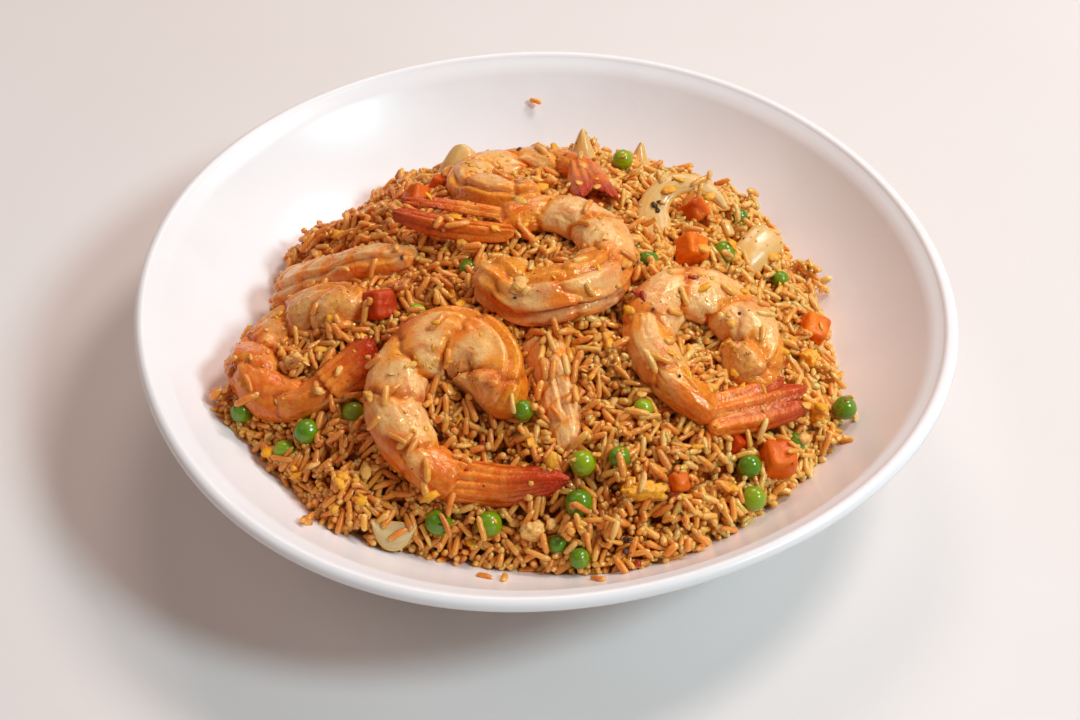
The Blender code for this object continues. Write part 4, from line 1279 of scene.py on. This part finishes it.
# The four kinds run from the darkest, for the shaded left and front, to the palest, for the lit right
# and back
riceColours = (  # two own tones, a pinker one, sauce, and the brown film
    ("rice_grains_glazed", (
        (241, 142, 46), (248, 157, 62), (241, 147, 64), (238, 125, 22), (190, 82, 10))),
    ("rice_grains_clear", (
        (248, 154, 54), (253, 171, 76), (248, 158, 72), (242, 134, 28), (204, 96, 16))),
    ("rice_grains_tan", (
        (253, 164, 58), (255, 181, 86), (253, 167, 80), (249, 142, 30), (218, 108, 20))),
    ("rice_grains_pale", (
        (255, 180, 80), (255, 198, 118), (255, 184, 98), (252, 158, 42), (230, 125, 30))),
)
# Painted light and shade: the paler kinds go towards the lit right and back of the heap and the darker
# kinds to the shaded left and front; each kind takes a quarter of the grains
paintedLightSide = smooth(-0.09, 0.09, grains[:, 0] + 0.4 * grains[:, 1])
order = np.argsort(0.6 * paintedLightSide + random.random(len(grains)))
kind = np.empty(len(grains), int)
kind[order] = 4 * np.arange(len(grains)) // len(grains)
for k, (name, colours) in enumerate(riceColours):
    shape, tone = grainShapes(grains[kind == k], random)
    putPiece(name, shape, riceFinish(name, colours), (), {"tone": tone})


def crumbShapes(places, ups, sizes, random, rough=0.32):
    # Low balls of 5 rings and 8 sides, each stretched and roughened by its own numbers,
    # lying flat on the surface under it; sizes are (long, wide, high) halves
    away = ball(5, 8)
    points, quads, tris = closedTube(away)
    count = len(places)
    local = points[None] * (1 + rough * random.uniform(-1, 1, (count, len(points), 1)))
    angle = random.uniform(0, 2 * np.pi, count)[:, None]
    side = unit(np.cross(ups, flat(np.cos(angle[:, 0]), np.sin(angle[:, 0]), 0.3)))
    other = np.cross(ups, side)
    axes = np.stack((side * sizes[:, :1], other * sizes[:, 1:2], ups * sizes[:, 2:]), -1)
    moved = np.einsum("nij,nkj->nki", axes, local) + (places + ups * sizes[:, 2:] * 0.35)[:, None, :]
    return repeated(moved, quads, tris)


def onShrimps(counts, inner, random):
    # Random places on the upper side of each shrimp's body, gathered at its inner edge and
    # head end; gives places and outward normals
    places, ups = [], []
    for name, count in counts.items():
        rows = shrimpRows[name]
        rings, sides = rows.shape[:2]
        ring = (random.beta(1.0, 1.7, count) * (rings * 0.86 - 8) + 6).astype(int)
        atInside = random.random(count) < inner
        angle = np.where(atInside, random.normal(2.3, 0.5, count), random.uniform(-0.3, 2.6, count))
        side = (angle / (2 * np.pi) * sides).astype(int) % sides
        here = rows[ring, side]
        along = rows[ring + 1, side] - rows[ring - 1, side]
        away = unit(np.cross(along, rows[ring, (side + 1) % sides] - rows[ring, side - 1]))
        facing = ((here - rows[ring].mean(1)) * away).sum(-1)
        ups.append(away * np.sign(facing)[:, None])
        places.append(here)
    return np.concatenate(places), np.concatenate(ups)


def onRice(count, random):
    # Random places on the rice where nothing covers it
    x, y, target, covered = (maps[k] for k in (0, 1, 3, 5))
    free = np.flatnonzero((target > 0) & ~covered)
    pick = random.choice(free, count)
    places = np.stack((x.flat[pick], y.flat[pick], level.flat[pick]), -1)
    ups = unit(flat(random.normal(0, 0.35, count), random.normal(-0.15, 0.35, count), np.ones(count)))
    return places, ups


def atSpots(spots, random):
    # Listed places in mm, at the height of whatever lies there
    at = np.array([spot[:2] for spot in spots]) * mm
    cells = np.rint((at + rice["half"]) / rice["cell"]).astype(int)
    places = np.column_stack((at, level[cells[:, 0], cells[:, 1]]))
    count = len(at)
    ups = flat(random.normal(0, 0.15, count), random.normal(-0.2, 0.15, count), np.ones(count))
    return places, unit(ups)


crumbs = {
    "underTop": 1.5 * mm,
    # scattered on the rice: how many, and the smallest and largest half size in mm
    "eggOnRice": (330, 0.5, 3.2), "pepperOnRice": (170, 0.15, 0.8), "chilliOnRice": (26, 0.3, 1.0),
    # place, half length and half width in mm, and 0 cream to 1 deep yellow
    "eggSpots": (
        (-4.9, -81, 2.6, 1.1, 0.9), (22.7, -45.8, 2.2, 1.2, 0.9), (15.5, -60.1, 1.8, 1.0, 0.9),
        (-58.6, -93.9, 2.0, 1.2, 1.0), (31, -97.2, 4.0, 1.1, 0.15), (44, -102.3, 1.6, 1.0, 0.9),
        (49.4, -80.2, 2.2, 1.2, 0.85), (86, -66.5, 2.2, 1.8, 0.2), (60, -88.9, 2.4, 1.5, 1.0),
        (-72.8, -30, 2.2, 1.4, 1.0), (-92.4, -68.2, 2.6, 2.0, 0.95), (-59, -95.5, 2.4, 1.4, 0.95),
        (-65.8, -91, 2.2, 1.6, 0.95), (-74.7, -85, 1.8, 1.2, 0.9), (-31.3, -22.8, 2.8, 1.0, 0.95),
        (-83, -42.6, 2.4, 1.6, 0.1), (-86.5, -41.5, 2.6, 1.8, 0.0), (-68.2, -53, 2.0, 1.3, 0.25),
        (-74.6, -58, 2.2, 1.3, 0.2), (53.3, -26.6, 3.0, 1.3, 1.0), (68, -21.4, 1.6, 1.2, 1.0),
        (41.6, -46.5, 1.6, 1.1, 0.9), (46.9, -60.5, 1.8, 1.1, 0.9), (63.5, -51, 2.4, 1.6, 0.9),
        (21.5, -49, 2.4, 1.4, 0.8), (96.8, 25, 3.0, 1.0, 0.5), (93, -53.7, 2.4, 1.8, 1.0),
        (68, 9, 3.0, 1.4, 0.95), (62.8, -36, 2.0, 1.4, 0.6), (-31.1, 6.5, 3.2, 1.3, 1.0),
        (2.8, -30, 2.0, 1.0, 0.9), (-6.5, 4.5, 1.6, 1.0, 0.8), (-7.8, -31.5, 3.0, 2.2, 0.1),
        (-1.3, 36, 3.2, 2.2, 0.8), (40.1, 76, 3.0, 1.2, 0.85), (43.6, 52, 2.6, 1.8, 0.6),
        (69.5, 24, 3.4, 1.2, 0.95), (31.5, 4.0, 3.2, 2.0, 0.3), (39.8, -2, 3.8, 0.8, 0.7),
        (83.2, 19.3, 2.6, 1.8, 0.7), (91, 37, 2.2, 1.2, 0.8), (59.9, 30, 2.6, 1.6, 0.9),
        (-35.5, -49, 1.6, 1.0, 0.8), (-43, -60, 2.0, 1.4, 0.4), (-31, -64, 2.2, 1.6, 0.5),
        (-10, -100, 2.0, 1.6, 0.1), (2, -103, 2.2, 1.6, 0.2),
    ),
    "pepperSpots": (
        (39.5, 24.5, 1.5, 1.1), (40.6, 22.8, 1.1, 0.9), (41.3, 25.6, 0.9, 0.8), (34.5, 30, 0.7, 0.6),
        (-9.4, 66.3, 1.3, 0.7), (-49.7, -2.4, 1.1, 0.6), (10, -33.5, 1.5, 0.6), (-9.8, -37, 0.6, 0.5),
        (26.3, -22.7, 1.0, 0.6), (26, -34.5, 1.0, 0.6), (54.1, -34, 0.6, 0.5), (65.7, -32.2, 0.6, 0.6),
        (43.9, -62.3, 0.6, 0.5), (55.1, -48, 0.6, 0.5), (36.1, -38, 0.6, 0.5), (63.3, -40.4, 0.5, 0.5),
        (25.7, -109, 1.1, 0.9), (25.7, -112.5, 1.5, 1.1), (43.5, -103, 1.0, 0.5), (27, -110, 0.9, 0.7),
    ),
    "chilliSpots": (
        (29.1, -114, 1.6, 1.2), (36.8, -106, 1.3, 1.0), (41.2, -97, 1.4, 0.9), (-20, -77, 1.6, 1.0),
        (36.6, -63.5, 0.8, 0.5), (50.2, -23.3, 1.8, 0.9), (31.8, -31.5, 3.6, 1.1),
        (33.0, -33.0, 2.6, 1.0), (20, 60, 1.0, 0.7), (44, 74, 1.2, 0.8), (27, -113, 0.9, 0.7),
    ),
    "onShrimps": {"front": 60, "left": 80, "upper_left": 20, "centre": 84, "back": 70, "right": 70},
    "pepperOnShrimps": {"front": 22, "left": 20, "upper_left": 8,
                        "centre": 22, "back": 14, "right": 24},
}


def tableOf(spots, random):
    # Listed spots as places, normals, half sizes and shades
    places, ups = atSpots(spots, random)
    given = np.array([spot[2:] for spot in spots])
    sizes = np.column_stack((given[:, 0], given[:, 1], 0.55 * given[:, 1])) * mm
    return places, ups, sizes, given[:, 2] if given.shape[1] > 2 else np.full(len(given), 0.5)


def scattered(places, ups, low, high, random):
    # Random half sizes, many small and a few large
    count = len(places)
    size = (low + (high - low) * random.beta(1.1, 3.2, count)) * mm
    sizes = np.column_stack((size * random.uniform(1.0, 1.6, count),
                             size * random.uniform(0.6, 1.0, count),
                             size * random.uniform(0.2, 0.45, count)))
    return places, ups, sizes, random.beta(1.1, 0.7, count)


def scatteredOnRice(setting, random):
    count, low, high = crumbs[setting]
    return scattered(*onRice(count, random), low, high, random)


def crumbPiece(name, parts, material, random):
    places, ups, sizes, shade = (np.concatenate([part[k] for part in parts]) for k in range(4))
    places[:, 2] = np.minimum(places[:, 2], cadHigh[2] - crumbs["underTop"])
    shape = crumbShapes(places, ups, sizes, random)
    shades = np.repeat(shade, len(shape[0]) // len(places))
    putPiece(name, shape, material, (), {"shade": shades})


def speckFinish(name, dark, toneAndPaintedLight, rough):
    # One small kind of crumb, darker to lighter from piece to piece
    material, tree, shader, place = newMaterial(name, Roughness=rough)
    tone = sums(tree, "ADD", mark(tree, "shade")["Fac"], patches(tree, place, 700, 0.4, 0.6))
    colour = mixColour(tree, sums(tree, "MULTIPLY", tone, 0.5), rgb(*dark), rgb(*toneAndPaintedLight))
    tree.links.new(colour, shader.inputs["Base Color"])
    return material


crumbPiece("egg_crumbs", (
    tableOf(crumbs["eggSpots"], random),
    scatteredOnRice("eggOnRice", random),
    scattered(*onShrimps(crumbs["onShrimps"], 0.8, random), 0.2, 1.3, random)), egg, random)
crumbPiece("pepper_specks", (
    tableOf(crumbs["pepperSpots"], random),
    scatteredOnRice("pepperOnRice", random),
    scattered(*onShrimps(crumbs["pepperOnShrimps"], 0.2, random), 0.14, 0.45, random)),
    speckFinish("pepper", (34, 16, 8), (96, 50, 22), 0.5), random)
crumbPiece("chilli_bits", (
    tableOf(crumbs["chilliSpots"], random),
    scatteredOnRice("chilliOnRice", random)),
    speckFinish("chilli", (150, 30, 10), (206, 74, 22), 0.3), random)


table = {"half": 3.0, "darker": (234, 225, 219), "lighter": (237, 231, 227)}


def makeFloor():
    # A pale table under the bowl
    mesh = bpy.data.meshes.new("floor")
    size = table["half"]
    corners = [(-size, -size, 0), (size, -size, 0), (size, size, 0), (-size, size, 0)]
    mesh.from_pydata(corners, [], [(0, 1, 2, 3)])
    material, tree, shader, place = newMaterial("paleTable", Roughness=0.55)
    cloud = patches(tree, place, 3, 0.2, 0.8)
    colour = mixColour(tree, cloud, rgb(*table["darker"]), rgb(*table["lighter"]))
    tree.links.new(colour, shader.inputs["Base Color"])
    mesh.materials.append(material)
    floor = bpy.data.objects.new("floor", mesh)
    bpy.context.scene.collection.objects.link(floor)


lights = {  # direction in degrees round and up, distance, size, watts, colour
    "key": (-22, 45, 2.4, 0.55, 32.6, (0.66, 0.89, 1.0)),
    "high": (30, 55, 1.5, 0.4, 8.8, (1.0, 0.88, 0.86)),
    "back": (90, 50, 2.4, 0.9, 10.8, (1.0, 0.81, 0.735)),
    "left": (180, 50, 2.4, 0.9, 3.0, (1.0, 0.82, 0.80)),
}
room = {"Color": (1.0, 0.81, 0.735, 1.0), "Strength": 0.23}


def makeLights():
    for name, (around, rise, distance, size, watts, colour) in lights.items():
        lamp = bpy.data.lights.new(name, "AREA")
        lamp.shape = "DISK"
        lamp.size, lamp.energy, lamp.color = size, watts, colour
        obj = bpy.data.objects.new(name, lamp)
        around, rise = math.radians(around), math.radians(rise)
        away = Vector((math.cos(around) * math.cos(rise), math.sin(around) * math.cos(rise),
                       math.sin(rise)))
        obj.location = away * distance
        obj.rotation_euler = away.to_track_quat("Z", "Y").to_euler()
        bpy.context.scene.collection.objects.link(obj)
    world = bpy.data.worlds.new("paleRoom")
    world.use_nodes = True
    for socket, value in room.items():
        world.node_tree.nodes["Background"].inputs[socket].default_value = value
    bpy.context.scene.world = world


camera = {
    "lens": 60.0, "sensor": 36.0, "elevation": 44.18, "distance": 0.6124,
    "look": (-1.5 * mm, -38.7 * mm, 55 * mm),
}


def makeCamera():
    lens = bpy.data.cameras.new("camera")
    lens.lens, lens.sensor_width = camera["lens"], camera["sensor"]
    obj = bpy.data.objects.new("camera", lens)
    rise = math.radians(camera["elevation"])
    back = Vector((0, -math.cos(rise), math.sin(rise)))
    obj.location = Vector(camera["look"]) + back * camera["distance"]
    obj.rotation_euler = (math.pi / 2 - rise, 0, 0)
    bpy.context.scene.collection.objects.link(obj)
    bpy.context.scene.camera = obj
    bpy.context.scene.view_settings.view_transform = "Standard"


makeFloor()
makeLights()
makeCamera()
print("scene ready")
